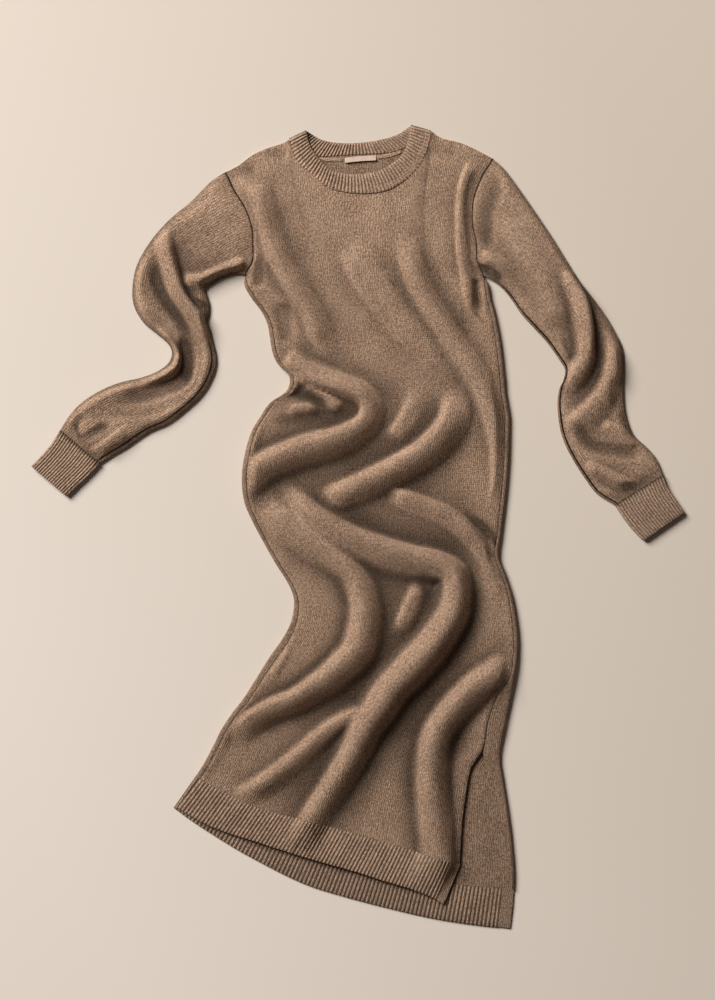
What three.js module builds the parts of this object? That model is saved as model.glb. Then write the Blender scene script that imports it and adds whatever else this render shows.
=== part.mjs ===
// A long-sleeved sweater dress laid flat on a table, front up, with its skirt swept
// into an S. Millimetres: +X to the viewer's right, +Y to the neck, +Z up from the table.
//
// Every piece that a maker knits and links together is one closed wall: a visible face
// worked out from sections and folds, and a plain inner face one cloth thickness behind.
import * as THREE from 'three';

// Driving sizes
const WALL = 2; // thickness of the knitted cloth
const RIB_WALL = 2.2; // thickness of a ribbed band between its ribs
const RIB_RISE = 0.9; // height of a rib above its band
const SEAM = 0.3; // gap between two pieces that are sewn together
const HALF_SEAM = SEAM / 2;
const EDGE = 8; // how far a folded edge takes to round over
const BODY_LOFT = 9; // height of the body's upper layer where no fold lifts it
const BODY_LOW = 4.8; // lowest height of the body's upper layer
const SLEEVE_LOFT = 10;
const SLEEVE_LOW = 5.5;
const SLEEVE_EDGE_LOFT = 8; // height of a sleeve near its folded edges
const CUFF_LOFT = 8;
const SHOULDER_LOFT = 4.5; // the front where it meets the back along the shoulder
const SETTLE = 24; // how far from an edge the folds reach their full height
const LEAST_FLANK = 12; // the steepest flank that these sections can follow

// Stations down the body, and where the armhole, the hem seam and the neck's ends lie
const ARMHOLE_END = 0.148;
const UNDERARM_TURN = 0.154;
const HEM_SEAM = 0.905;
const NECK_FADE = 0.235;
const HEM_FADE_FROM = 0.63;
const NECK_START = 0.24;
const NECK_STOP = 0.77;
const ARMHOLE_STEPS = 8;
const SIDE_STEPS = 38;
const SHOULDER_COLUMNS = 6;
const NECK_COLUMNS = 13;

// Counts
const NECK_RIBS_FRONT = 54;
const NECK_RIBS_BACK = 42;
const HEM_RIBS_FRONT = 77;
const HEM_RIBS_BACK = 88;
const CUFF_RIBS = 18;
const SLEEVE_STEPS = 22;

// The body's outline: left and right edge at each station, how far in from it the front
// begins, how far the back laps over it, and the height of each edge.
const BODY_COLUMNS = ['at', 'lx', 'ly', 'rx', 'ry', 'leftIn', 'rightIn', 'over', 'leftUp', 'rightUp'];
const BODY_SECTIONS = [
  [0.0, -198, 532, 202, 552, 0, 0, 0, 6, 6],
  [0.028, -184, 502, 185, 524, 0, 0, 0, 8, 8],
  [0.052, -170, 480, 173, 492, 0, 0, 0, 9, 9],
  [0.08, -159, 450, 171, 457, 0, 0, 0, 9, 9],
  [0.108, -157, 420, 177, 425, 0, 0, 0, 9, 9],
  [0.13, -158, 397, 178, 400, 0, 0, 0, 9, 9],
  [0.148, -168, 379, 187, 378, 0, 0, 0, 6.5, 6.5],
  [0.163, -170, 362, 195, 364, 5, 5, 5, 9, 9],
  [0.18, -159, 342, 199, 343, 6, 6, 6, 9, 9],
  [0.196, -146, 325, 204, 325, 6, 6, 6, 9, 9],
  [0.214, -136, 305, 209, 303, 6, 7, 7, 9, 9],
  [0.233, -132, 283, 213, 280, 6, 7, 7, 9, 9],
  [0.252, -128, 261, 216, 258, 6, 7, 7, 9, 9],
  [0.268, -120, 244, 218, 238, 6, 7, 7, 12, 9],
  [0.282, -103, 226, 220, 220, 6, 7, 7, 15, 9],
  [0.296, -107, 204, 221, 204, 6, 7, 7, 12, 9],
  [0.31, -131, 187, 224, 186, 6, 7, 7, 9, 9],
  [0.326, -146, 166, 227, 166, 6, 7, 7, 9, 9],
  [0.345, -160, 142, 227, 143, 6, 7, 7, 12, 9],
  [0.378, -171, 102, 226, 103, 7, 7, 7, 18, 9],
  [0.408, -174, 68, 223, 62, 7, 7, 7, 18, 9],
  [0.435, -170, 36, 219, 26, 7, 7, 7, 13, 9],
  [0.46, -157, 6, 215, -8, 7, 6, 6, 10, 9],
  [0.488, -141, -24, 211, -44, 6, 6, 6, 9, 10],
  [0.51, -124, -54, 221, -72, 6, 6, 6, 9, 10],
  [0.532, -108, -79, 231, -104, 6, 6, 6, 9, 10],
  [0.552, -98, -100, 237, -136, 6, 7, 7, 9, 10],
  [0.57, -96, -118, 240, -165, 7, 7, 7, 9, 10],
  [0.595, -101, -144, 239, -196, 8, 7, 7, 9, 11],
  [0.625, -115, -170, 234, -228, 10, 8, 8, 9, 12],
  [0.655, -132, -194, 228, -260, 10, 22, 22, 9, 10],
  [0.69, -151, -224, 220, -294, 9, 26, 26, 10, 10],
  [0.725, -171, -256, 213, -330, 8, 26, 25, 12, 9],
  [0.755, -188, -278, 218, -360, 7, 48, 7, 13, 6],
  [0.79, -204, -302, 225, -395, 7, 62, 3, 13, 5],
  [0.83, -217, -328, 231, -432, 7, 73, 3, 12, 5],
  [0.875, -232, -356, 235, -474, 7, 80, 3, 11, 5],
  [0.905, -243, -373, 235, -500, 7, 81, 3, 10, 5],
];

const LEFT_SHOULDER = [[-198, 532], [-180, 541], [-160, 556], [-140, 566], [-110, 576], [-103, 581]];
const RIGHT_SHOULDER = [[109, 593], [125, 583], [155, 575], [180, 564], [202, 552]];
const FRONT_NECK_SEAM = [
  [-103, 581], [-99, 562], [-88, 543], [-68, 527], [-45, 509], [-15, 501],
  [15, 500], [45, 505], [70, 520], [90, 540], [103, 566], [109, 593],
];
const BACK_NECK_SEAM = [
  [-103, 581], [-85, 566], [-58, 556], [-30, 557], [0, 558.5],
  [30, 560], [55, 563], [70, 569], [90, 579], [109, 593],
];
const FRONT_NECK_EDGE = [
  [-78, 593], [-73, 572], [-60, 552], [-40, 534], [-20, 528], [0, 527],
  [20, 529], [40, 537], [63, 553], [75, 575], [80, 601],
];
const BACK_NECK_EDGE = [[-78, 593], [-55, 580], [-30, 575], [0, 575], [30, 579], [60, 588], [80, 601]];

const FRONT_HEM_END = [
  [-270, -420], [-230, -443], [-200, -455], [-150, -471], [-100, -487], [-60, -499],
  [0, -516], [40, -529], [80, -541], [110, -553], [128, -564],
];
const FRONT_HEM_TOP = [
  [-237, -377], [-195, -399], [-150, -420], [-80, -438], [-40, -448], [0, -460],
  [50, -474], [100, -489], [130, -498], [153, -505],
];
const BACK_HEM_TOP = [
  [-243, -373], [-200, -401], [-150, -430], [-80, -470],
  [0, -500], [80, -522], [160, -537], [234, -543],
];
const BACK_HEM_END = [
  [-276, -420], [-250, -439], [-210, -465], [-170, -489], [-85, -532], [-20, -553],
  [65, -575], [120, -587], [180, -596], [228, -601],
];

// Sleeves: outer and inner edge at each station from armhole to cuff
const SLEEVE_COLUMNS = ['at', 'ox', 'oy', 'ix', 'iy'];
const LEFT_SLEEVE = [
  [0.0, -198, 532, -168, 379], [0.05, -220, 518, -182, 379], [0.11, -250, 488, -202, 373],
  [0.17, -280, 463, -218, 364], [0.22, -302, 440, -228, 356], [0.27, -321, 413, -226, 345],
  [0.32, -333, 388, -223, 334], [0.37, -338, 360, -223, 320], [0.42, -336, 332, -225, 308],
  [0.47, -322, 307, -221, 294], [0.52, -302, 290, -217, 276], [0.57, -286, 276, -213, 258],
  [0.61, -279, 262, -213, 242], [0.65, -284, 246, -219, 223], [0.69, -301, 233, -231, 202],
  [0.74, -325, 224, -250, 182], [0.8, -355, 217, -283, 156], [0.86, -385, 205, -315, 141],
  [0.91, -412, 188, -347, 119], [0.96, -431, 169, -369, 106], [1.0, -446, 146, -386, 95],
];
const RIGHT_SLEEVE = [
  [0.0, 202, 552, 187, 378], [0.05, 220, 535, 204, 368], [0.11, 243, 504, 217, 357],
  [0.17, 268, 468, 230, 341], [0.23, 292, 432, 245, 319], [0.29, 313, 398, 263, 299],
  [0.35, 331, 370, 283, 277], [0.41, 352, 343, 300, 253], [0.47, 370, 318, 310, 236],
  [0.52, 385, 292, 308, 221], [0.57, 396, 268, 302, 207], [0.62, 399, 240, 299, 188],
  [0.67, 398, 210, 300, 166], [0.72, 399, 182, 304, 142], [0.77, 404, 158, 312, 120],
  [0.82, 413, 138, 325, 96], [0.88, 432, 120, 340, 73], [0.94, 447, 102, 357, 51],
  [1.0, 457, 79, 384, 34],
];
const LEFT_CUFF = [
  [0, -446, 146, -386, 95], [0.3, -460, 124, -401, 79],
  [0.7, -477, 104, -420, 61], [1, -489, 92, -435, 46],
];
const RIGHT_CUFF = [
  [0, 457, 79, 384, 34], [0.3, 464, 60, 397, 14],
  [0.7, 479, 37, 413, -6], [1, 489, 23, 427, -20],
];

// Directions in plan in which the sleeves run into their cuffs
const LEFT_WRIST = [-0.64, -0.77];
const RIGHT_WRIST = [0.52, -0.85];

// Folds: the line of the crest, its height, and the width of the flank to the left and to
// the right of that line. A list is spread evenly along the crest. A dip goes down.
const BODY_FOLDS = [
  {
    name: 'left chest', high: [6, 12, 13, 13, 12, 10], left: 15, right: 16,
    line: [
      [-156, 520], [-140, 468], [-126, 424], [-110, 386],
      [-89, 352], [-70, 322], [-59, 294], [-62, 248],
    ],
  },
  {
    name: 'waist left hollow', dip: 4, left: 12, right: 13,
    line: [[-113, 335], [-108, 300], [-110, 265]],
  },
  {
    name: 'belly middle', high: 8, left: 28, right: 12,
    line: [[-24, 416], [4, 368], [30, 332], [85, 271], [130, 222]],
  },
  {
    name: 'belly long', high: [7, 12, 13, 11, 7, 6], left: 15, right: [20, 20, 18, 14],
    line: [[76, 445], [86, 390], [101, 352], [123, 315], [172, 242], [201, 175], [208, 120]],
  },
  {
    name: 'right armhole', high: 8, left: 13, right: 15,
    line: [[168, 535], [155, 470], [156, 418], [161, 383], [179, 312]],
  },
  {
    name: 'hip and waist', high: [14, 20, 22, 22, 21, 18, 17, 15], left: [18, 18, 17, 13],
    right: [19, 20, 21, 18, 20, 24], fade: [0.05, 0.06],
    line: [
      [-175, 48], [-160, 75], [-141, 92], [-111, 107], [-75, 120], [-40, 130], [-10, 143],
      [10, 160], [14, 180], [2, 196], [-22, 205], [-52, 213], [-84, 223], [-114, 240],
    ],
  },
  {
    name: 'pocket top', dip: 4, left: 12, right: 12,
    line: [[-100, 192], [-78, 196], [-50, 190]],
  },
  {
    name: 'hip small', high: 7, left: 13, right: 13,
    line: [[48, 126], [66, 150], [80, 175], [92, 216]],
  },
  {
    name: 'thigh roll', high: [14, 18, 20, 22, 20, 13], left: 17, right: [15, 18, 20, 20],
    line: [
      [-58, 34], [-10, 56], [25, 73], [62, 92], [95, 113],
      [122, 138], [138, 162], [142, 188], [130, 230],
    ],
  },
  {
    name: 'right lap', high: [8, 12, 13, 14], left: 12, right: 17,
    line: [[44, 53], [98, 37], [135, 21], [157, 5], [174, -10], [200, -44]],
  },
  {
    name: 'knee roll', high: [14, 24, 30, 32, 32, 28, 26, 22, 14], left: [24, 30, 32, 28, 26, 26, 28],
    right: [20, 20, 20, 16, 15, 15, 15], fade: [0, 0.1],
    line: [
      [-84, -470], [-46, -405], [-8, -345], [33, -277], [80, -218], [128, -160], [151, -96],
      [145, -68], [118, -50], [85, -42], [45, -31], [-5, -13], [-45, 8], [-72, 25], [-118, 66],
    ],
  },
  {
    name: 'calf upper', high: 13, left: 14, right: 16,
    line: [[34, -262], [-35, -300], [-92, -348], [-122, -372], [-190, -408]],
  },
  {
    name: 'shin roll', high: [10, 20, 24, 24, 20, 16, 12], left: [17, 18, 22, 22, 24],
    right: [17, 19, 18, 16, 15],
    line: [
      [-200, -322], [-130, -270], [-94, -256], [-28, -212], [0, -186], [10, -150], [11, -118],
      [6, -92], [-6, -68], [-33, -42], [-98, 6], [-146, 54],
    ],
  },
  {
    name: 'shin small', high: 9, left: 13, right: 13,
    line: [[58, -168], [72, -135], [96, -78]],
  },
  {
    name: 'side roll', high: [16, 20, 24, 26, 25, 21, 16], left: [26, 22, 20], right: 18, fade: [0, 0.1],
    line: [
      [128, -510], [119, -450], [112, -370], [114, -335],
      [124, -302], [148, -268], [180, -238], [232, -204],
    ],
  },
];
const LEFT_SLEEVE_FOLDS = [
  {
    name: 'elbow lap', high: 12, left: 16, right: 12,
    line: [[-222, 294], [-250, 326], [-265, 347], [-281, 398], [-286, 425], [-292, 455]],
  },
  {
    name: 'elbow pit', dip: 4, left: 12, right: 12,
    line: [[-264, 280], [-256, 254], [-256, 228], [-264, 208], [-322, 192]],
  },
  {
    name: 'inner ridge', high: [7, 9, 10, 10], left: 14, right: 13,
    line: [
      [-396, 144], [-352, 152], [-294, 159], [-264, 172], [-238, 195], [-222, 230], [-220, 268], [-228, 300],
    ],
  },
  {
    name: 'forearm top', high: 5, left: 12, right: 12,
    line: [[-424, 166], [-398, 188], [-362, 200], [-325, 206]],
  },
];
const RIGHT_SLEEVE_FOLDS = [
  {
    name: 'elbow lap', high: [10, 15, 16, 14, 9], left: 15, right: 15,
    line: [[304, 212], [326, 228], [338, 250], [342, 276], [335, 332], [316, 392]],
  },
  {
    name: 'lower ridge', high: [9, 13, 14, 9], left: 14, right: 13,
    line: [[312, 140], [356, 182], [374, 206], [385, 238], [388, 270], [378, 304]],
  },
  {
    name: 'wrist line', high: 6, left: 12, right: 12,
    line: [[368, 154], [398, 138], [426, 118]],
  },
  {
    name: 'wrist ridge', high: 8, left: 12, right: 12,
    line: [[342, 92], [366, 80], [392, 68], [420, 60]],
  },
];

const LABEL = { line: [[-20, 549.6], [2, 552], [27, 553.4]], deep: 8, thick: 0.8, under: 2.3, columns: 8 };

const KNIT = new THREE.MeshStandardMaterial({ color: 0x987d67, roughness: 0.95, metalness: 0 });
const RIB = new THREE.MeshStandardMaterial({ color: 0x8f7560, roughness: 0.95, metalness: 0 });
const TAG = new THREE.MeshStandardMaterial({ color: 0xcdb6a4, roughness: 0.7, metalness: 0 });

// Curves

/** Rise from 0 to 1 with level ends. */
function ease(t) {
  const k = THREE.MathUtils.clamp(t, 0, 1);
  return k * k * (3 - 2 * k);
}

/** Smooth cubic through rows of numbers at rising knots. */
function cubic(knots, rows, at) {
  const last = knots.length - 1;
  const x = THREE.MathUtils.clamp(at, knots[0], knots[last]);
  let i = 0;
  while (i < last - 1 && x > knots[i + 1]) i += 1;
  const slope = (k, c) => {
    const a = Math.max(k - 1, 0);
    const b = Math.min(k + 1, last);
    return (rows[b][c] - rows[a][c]) / (knots[b] - knots[a]);
  };
  const gap = knots[i + 1] - knots[i];
  const t = (x - knots[i]) / gap;
  return rows[i].map((from, c) => {
    const to = rows[i + 1][c];
    return (2 * t ** 3 - 3 * t ** 2 + 1) * from + (t ** 3 - 2 * t ** 2 + t) * gap * slope(i, c)
      + (3 * t ** 2 - 2 * t ** 3) * to + (t ** 3 - t ** 2) * gap * slope(i + 1, c);
  });
}

/** Shares of the length of a line at which its points lie. */
function shares(points) {
  const sums = [0];
  for (let k = 1; k < points.length; k += 1) {
    sums.push(sums[k - 1] + Math.hypot(points[k][0] - points[k - 1][0], points[k][1] - points[k - 1][1]));
  }
  return sums.map((length) => length / sums[sums.length - 1]);
}

/** Point at a share of a smooth line through points. */
function along(points, share) {
  return cubic(shares(points), points, share);
}

/** Point at a share of a line made of straight stretches, as a sewn edge meets its neighbour. */
function straight(points, share) {
  const knots = shares(points);
  let i = 0;
  while (i < knots.length - 2 && share > knots[i + 1]) i += 1;
  const t = (share - knots[i]) / (knots[i + 1] - knots[i]);
  return points[i].map((value, c) => value + (points[i + 1][c] - value) * t);
}

/** Value of a number, or of a list spread evenly over 0 to 1. */
function spread(value, share) {
  if (!Array.isArray(value)) return value;
  const place = share * (value.length - 1);
  const k = Math.min(Math.floor(place), value.length - 2);
  return value[k] + (value[k + 1] - value[k]) * (place - k);
}

/** A table's row at a station, under its column names. */
function station(columns, table, at) {
  const row = cubic(table.map((r) => r[0]), table, at);
  return Object.fromEntries(columns.map((name, c) => [name, row[c]]));
}

// Folds

const CREST_STEPS = 40;
const FOLD_REACH = 2.6;
const FOLD_FOOT = 1.5;
const FOLD_MIX = 2.5;
const FLOOR_SOFTNESS = 3;

/** Ready a fold for use: its crest as short straight stretches. */
function crease(fold) {
  const crest = Array.from({ length: CREST_STEPS + 1 }, (_, k) => along(fold.line, k / CREST_STEPS));
  return { fade: [0.2, 0.2], ...fold, crest };
}

/** Height that one fold gives at a place in plan. */
function foldHeight(fold, x, y) {
  let best = Infinity;
  let share = 0;
  let side = 1;
  for (let k = 0; k < CREST_STEPS; k += 1) {
    const [ax, ay] = fold.crest[k];
    const dx = fold.crest[k + 1][0] - ax;
    const dy = fold.crest[k + 1][1] - ay;
    const f = THREE.MathUtils.clamp(((x - ax) * dx + (y - ay) * dy) / (dx * dx + dy * dy), 0, 1);
    const ex = x - ax - f * dx;
    const ey = y - ay - f * dy;
    const far = Math.hypot(ex, ey);
    if (far < best) {
      best = far;
      share = (k + f) / CREST_STEPS;
      side = ex * dy - ey * dx;
    }
  }
  const [start, stop] = fold.fade;
  const taper = (start ? ease(share / start) : 1) * (stop ? ease((1 - share) / stop) : 1);
  const flank = Math.max(spread(side < 0 ? fold.left : fold.right, share), LEAST_FLANK);
  const t = best / flank;
  return spread(fold.high ?? fold.dip, share) * taper * Math.max(1 - (t * t) / FOLD_REACH, 0) ** FOLD_FOOT;
}

/** Height of a folded layer: its loft, its folds together, and its dips, kept above a low limit. */
function folded(folds, x, y, loft, low) {
  let ridges = 0;
  let dips = 0;
  for (const fold of folds) {
    const height = foldHeight(fold, x, y);
    if (fold.dip) dips += height;
    else ridges += height ** FOLD_MIX;
  }
  const free = (loft + ridges ** (1 / FOLD_MIX) - dips - low) / FLOOR_SOFTNESS;
  return low + FLOOR_SOFTNESS * Math.log1p(Math.exp(free));
}

// Walls

/**
 * One closed body from two faces of a wall. Both are grids of points, [row][column], seen
 * from outside with columns running to the right and rows running down. With around the
 * last column joins the first, and turns marks the cells that take their other diagonal.
 */
function wall(name, outer, inner, material, { around = false, turns = null } = {}) {
  const rows = outer.length;
  const columns = outer[0].length;
  const position = [...outer.flat(), ...inner.flat()].flat();
  const index = [];
  const out = (i, j) => i * columns + (j % columns);
  const inn = (i, j) => rows * columns + out(i, j);
  const quad = (a, b, c, d) => index.push(a, b, c, a, c, d);
  const cell = (a, b, c, d, turned) => (turned ? quad(b, c, d, a) : quad(a, b, c, d));
  const spans = around ? columns : columns - 1;
  for (let i = 0; i < rows - 1; i += 1) {
    for (let j = 0; j < spans; j += 1) {
      const turned = turns?.[i][j];
      cell(out(i, j), out(i + 1, j), out(i + 1, j + 1), out(i, j + 1), turned);
      cell(inn(i, j), inn(i, j + 1), inn(i + 1, j + 1), inn(i + 1, j), turned);
    }
  }
  for (let j = 0; j < spans; j += 1) {
    quad(inn(0, j), out(0, j), out(0, j + 1), inn(0, j + 1));
    quad(out(rows - 1, j), inn(rows - 1, j), inn(rows - 1, j + 1), out(rows - 1, j + 1));
  }
  if (!around) {
    for (let i = 0; i < rows - 1; i += 1) {
      quad(inn(i, 0), inn(i + 1, 0), out(i + 1, 0), out(i, 0));
      quad(out(i, columns - 1), out(i + 1, columns - 1), inn(i + 1, columns - 1), inn(i, columns - 1));
    }
  }
  const geometry = new THREE.BufferGeometry();
  geometry.setAttribute('position', new THREE.Float32BufferAttribute(position, 3));
  geometry.setIndex(index);
  geometry.computeVertexNormals();
  const mesh = new THREE.Mesh(geometry, material);
  mesh.name = name;
  return mesh;
}

/** A point moved by a distance along a direction. */
function moved(point, direction, distance) {
  return point.map((value, c) => value + direction[c] * distance);
}

/** Downward normal of a grid of points at one of them, straight down on its border. */
function inward(grid, i, j) {
  if (i === 0 || j === 0 || i === grid.length - 1 || j === grid[0].length - 1) return [0, 0, -1];
  const across = new THREE.Vector3(...grid[i][j + 1]).sub(new THREE.Vector3(...grid[i][j - 1]));
  const down = new THREE.Vector3(...grid[i + 1][j]).sub(new THREE.Vector3(...grid[i - 1][j]));
  return across.cross(down).normalize().toArray();
}

// The body

const bodyFolds = BODY_FOLDS.map(crease);

/** Share of the way across at which each column of the front lies. */
function frontColumns() {
  const stretch = (from, to, count) => (
    Array.from({ length: count }, (_, k) => from + ((to - from) * k) / count)
  );
  return [
    ...stretch(0, NECK_START, SHOULDER_COLUMNS), ...stretch(NECK_START, NECK_STOP, NECK_COLUMNS),
    ...stretch(NECK_STOP, 1, SHOULDER_COLUMNS), 1,
  ];
}

/** Stations of the rows of the body, from the shoulders to the hem seam. */
function bodyRows() {
  const armhole = Array.from({ length: ARMHOLE_STEPS + 1 }, (_, k) => (ARMHOLE_END * k) / ARMHOLE_STEPS);
  const side = Array.from({ length: SIDE_STEPS + 1 }, (_, k) => UNDERARM_TURN
    + ((HEM_SEAM - UNDERARM_TURN) * k) / SIDE_STEPS);
  return [...armhole, ...side];
}

/** Top edge of a body panel at a share across: shoulder, neck seam, shoulder. */
function topEdge(share, neckSeam) {
  if (share < NECK_START) return along(LEFT_SHOULDER, share / NECK_START);
  if (share > NECK_STOP) return along(RIGHT_SHOULDER, (share - NECK_STOP) / (1 - NECK_STOP));
  return along(neckSeam, (share - NECK_START) / (NECK_STOP - NECK_START));
}

/** How far a curved end line departs from the straight line between its ends. */
function departure(curve, ends, share) {
  return curve.map((value, c) => value - ends[0][c] - (ends[1][c] - ends[0][c]) * share);
}

/** A station of the body with its width and the direction across it. */
function bodyRow(at) {
  const row = station(BODY_COLUMNS, BODY_SECTIONS, at);
  const wide = Math.hypot(row.rx - row.lx, row.ry - row.ly);
  return { ...row, at, wide, across: [(row.rx - row.lx) / wide, (row.ry - row.ly) / wide] };
}

/** Place in plan on a station, a distance in from its left outline. */
function inFrom(row, far) {
  return [row.lx + row.across[0] * far, row.ly + row.across[1] * far];
}

const shoulderRow = bodyRow(0);
const hemRow = bodyRow(HEM_SEAM);

/** Share across, shifted so that the columns beside the neck run straight down from it. */
function straightened(share, row) {
  const keep = 1 - ease(row.at / ARMHOLE_END);
  const held = (stop) => {
    const place = shoulderRow.lx + shoulderRow.across[0] * shoulderRow.wide * stop;
    const fixed = (place - row.lx) / (row.rx - row.lx);
    return stop + (fixed - stop) * keep;
  };
  const knots = [0, NECK_START, NECK_STOP, 1];
  const places = [0, held(NECK_START), held(NECK_STOP), 1];
  let i = 0;
  while (i < 2 && share > knots[i + 1]) i += 1;
  return places[i] + ((places[i + 1] - places[i]) * (share - knots[i])) / (knots[i + 1] - knots[i]);
}

/**
 * Place in plan on a body panel, a distance in from the left outline. share is that of
 * the sewn panel; hemBow gives how far the panel's lower end departs from straight.
 */
function panelPlace(row, far, share, neckSeam, hemBow) {
  const flat = inFrom(row, far);
  const shoulderEnds = [inFrom(shoulderRow, 0), inFrom(shoulderRow, shoulderRow.wide)];
  const atTop = departure(topEdge(share, neckSeam), shoulderEnds, share);
  const fadeTop = 1 - ease(row.at / NECK_FADE);
  const fadeHem = ease((row.at - HEM_FADE_FROM) / (HEM_SEAM - HEM_FADE_FROM));
  return flat.map((value, c) => value + atTop[c] * fadeTop + hemBow[c] * fadeHem);
}

/** How steeply an edge has turned over at a distance in from it: 0 upright, 1 level. */
function rounding(distance, edge = EDGE) {
  const open = 1 - THREE.MathUtils.clamp(distance / edge, 0, 1);
  return Math.sqrt(1 - open * open);
}

/** Height of the body's upper layer, settled to its edge heights near the sides. */
function bodyTop(x, y, fromLeft, fromRight, row) {
  let height = folded(bodyFolds, x, y, BODY_LOFT, BODY_LOW);
  height = row.leftUp + (height - row.leftUp) * ease(fromLeft / SETTLE);
  return row.rightUp + (height - row.rightUp) * ease(fromRight / SETTLE);
}

/** Point of the front's upper face at a station and a share across. */
function frontPoint(at, share) {
  const row = bodyRow(at);
  const from = row.leftIn + HALF_SEAM;
  const inside = row.wide - row.rightIn - HALF_SEAM - from;
  const far = straightened(share, row) * inside;
  const hemEnds = [inFrom(hemRow, hemRow.leftIn), inFrom(hemRow, hemRow.wide - hemRow.rightIn)];
  const hemBow = departure(along(FRONT_HEM_TOP, share), hemEnds, share);
  const place = panelPlace(row, from + far, share, FRONT_NECK_SEAM, hemBow);
  const onShoulder = at === 0 && (share <= NECK_START || share >= NECK_STOP);
  return [...place, onShoulder ? SHOULDER_LOFT : bodyTop(place[0], place[1], far, inside - far, row)];
}

/** Grid of the front's upper face. */
function frontGrid() {
  return bodyRows().map((at) => frontColumns().map((share) => frontPoint(at, share)));
}

/** For each cell of the front's grid, whether its other diagonal lies closer to the cloth. */
function frontTurns(grid) {
  const rows = bodyRows();
  const columns = frontColumns();
  return rows.slice(1).map((at, i) => columns.slice(1).map((share, j) => {
    const height = frontPoint((at + rows[i]) / 2, (share + columns[j]) / 2)[2];
    const usual = (grid[i][j][2] + grid[i + 1][j + 1][2]) / 2;
    const other = (grid[i + 1][j][2] + grid[i][j + 1][2]) / 2;
    return Math.abs(other - height) < Math.abs(usual - height);
  }));
}

/** Front panel of the body, from the shoulders and neck seam to the hem seam. */
function frontPanel(grid) {
  const inner = grid.map((row, i) => row.map((point, j) => moved(point, inward(grid, i, j), WALL)));
  return wall('front_panel', grid, inner, KNIT, { turns: frontTurns(grid) });
}

const WRAP_STEPS = 4; // points from the underside round to where the back meets the front
const BACK_NECK_COLUMNS = 5;

/** Shares across of the columns of the back's flat underside. */
function undersideShares() {
  const neck = Array.from({ length: BACK_NECK_COLUMNS + 1 }, (_, k) => NECK_START
    + ((NECK_STOP - NECK_START) * k) / BACK_NECK_COLUMNS);
  return [NECK_START / 2, ...neck, (1 + NECK_STOP) / 2];
}

/**
 * One rolled edge of the back: from the seam on top, over the outline, to the underside.
 * Each point has a distance in from the outline, a height and the direction through the
 * wall. An open edge stays flat, and a turned one stops upright.
 */
function rolledEdge(kind, over, up, topAt) {
  const middle = up / 2;
  const upright = Math.PI / 2;
  const lapEnd = Math.min(over, EDGE);
  const reach = kind === 'turned' ? upright : upright + Math.acos(1 - lapEnd / EDGE);
  return Array.from({ length: WRAP_STEPS + 1 }, (_, k) => {
    const share = 1 - k / WRAP_STEPS;
    if (kind === 'open') return { far: EDGE * (1 - share) + HALF_SEAM, high: 0, through: [0, 1] };
    const angle = reach * share;
    if (angle <= upright) {
      const far = EDGE * (1 - Math.sin(angle));
      return { far, high: middle * (1 - rounding(far)), through: [Math.sin(angle), Math.cos(angle)] };
    }
    const seam = k === 0;
    const far = seam ? over : EDGE * (1 - Math.cos(angle - upright));
    const high = middle + (topAt(far) - middle) * rounding(far);
    return { far, high, through: seam ? [0, -1] : [Math.sin(angle), Math.cos(angle)] };
  });
}

/** How a station of the back ends at its sides: an armhole, its turn, or a seam. */
function edgeKind(at) {
  if (at <= ARMHOLE_END) return 'open';
  return at <= UNDERARM_TURN ? 'turned' : 'lapped';
}

/** Place in plan on the back, a distance in from the left outline. */
function backPlace(row, far) {
  const inside = row.wide - row.leftIn - row.rightIn;
  const sewn = THREE.MathUtils.clamp((far - row.leftIn) / inside, 0, 1);
  const whole = far / row.wide;
  const ends = [inFrom(hemRow, 0), inFrom(hemRow, hemRow.wide)];
  return panelPlace(row, far, sewn, BACK_NECK_SEAM, departure(along(BACK_HEM_TOP, whole), ends, whole));
}

/** Section of the back at a station, from its left seam under the body to its right seam. */
function backSection(row) {
  const kind = edgeKind(row.at);
  const topAt = (far) => {
    const [x, y] = backPlace(row, far);
    return bodyTop(x, y, far, row.wide - far, row);
  };
  const rightOver = Math.min(row.over, row.rightIn) - HALF_SEAM;
  const left = rolledEdge(kind, row.leftIn - HALF_SEAM, row.leftUp, topAt);
  const right = rolledEdge(kind, rightOver, row.rightUp, (far) => topAt(row.wide - far)).reverse();
  const under = undersideShares().map((share) => ({
    far: straightened(share, row) * row.wide, high: 0, through: [0, 1],
  }));
  return [
    ...left, ...under,
    ...right.map(({ far, high, through }) => (
      { far: row.wide - far, high, through: [-through[0], through[1]] }
    )),
  ];
}

/** Back panel: flat on the table, its side edges rolled up and over to the side seams. */
function backPanel() {
  const outer = [];
  const inner = [];
  bodyRows().map(bodyRow).forEach((row) => {
    const section = backSection(row).reverse();
    const face = section.map(({ far, high }) => [...backPlace(row, far), high]);
    outer.push(face);
    inner.push(face.map((point, j) => {
      const [side, up] = section[j].through;
      return moved(point, [row.across[0] * side, row.across[1] * side, up], WALL);
    }));
  });
  return wall('back_panel', outer, inner, KNIT);
}

/** The lower edge of the back's underside. */
function backHemLine() {
  const between = undersideShares().map((share) => share * hemRow.wide);
  const fars = [0, EDGE, ...between, hemRow.wide - EDGE, hemRow.wide];
  return fars.map((far) => backPlace(hemRow, far));
}

// Tubes that lie flat: sleeves and cuffs

/** Columns of a sleeve across its flat width: close together at its folded edges. */
function sleeveColumns(wide, betweenShares) {
  const between = betweenShares.map((share) => share * wide);
  const upper = [0, 0.3 * EDGE, EDGE, ...between, wide - EDGE, wide - 0.3 * EDGE, wide];
  const lower = [wide - EDGE / 2, ...between.reverse(), EDGE / 2];
  return [...upper.map((far) => ({ far, above: true })), ...lower.map((far) => ({ far, above: false }))];
}

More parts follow.
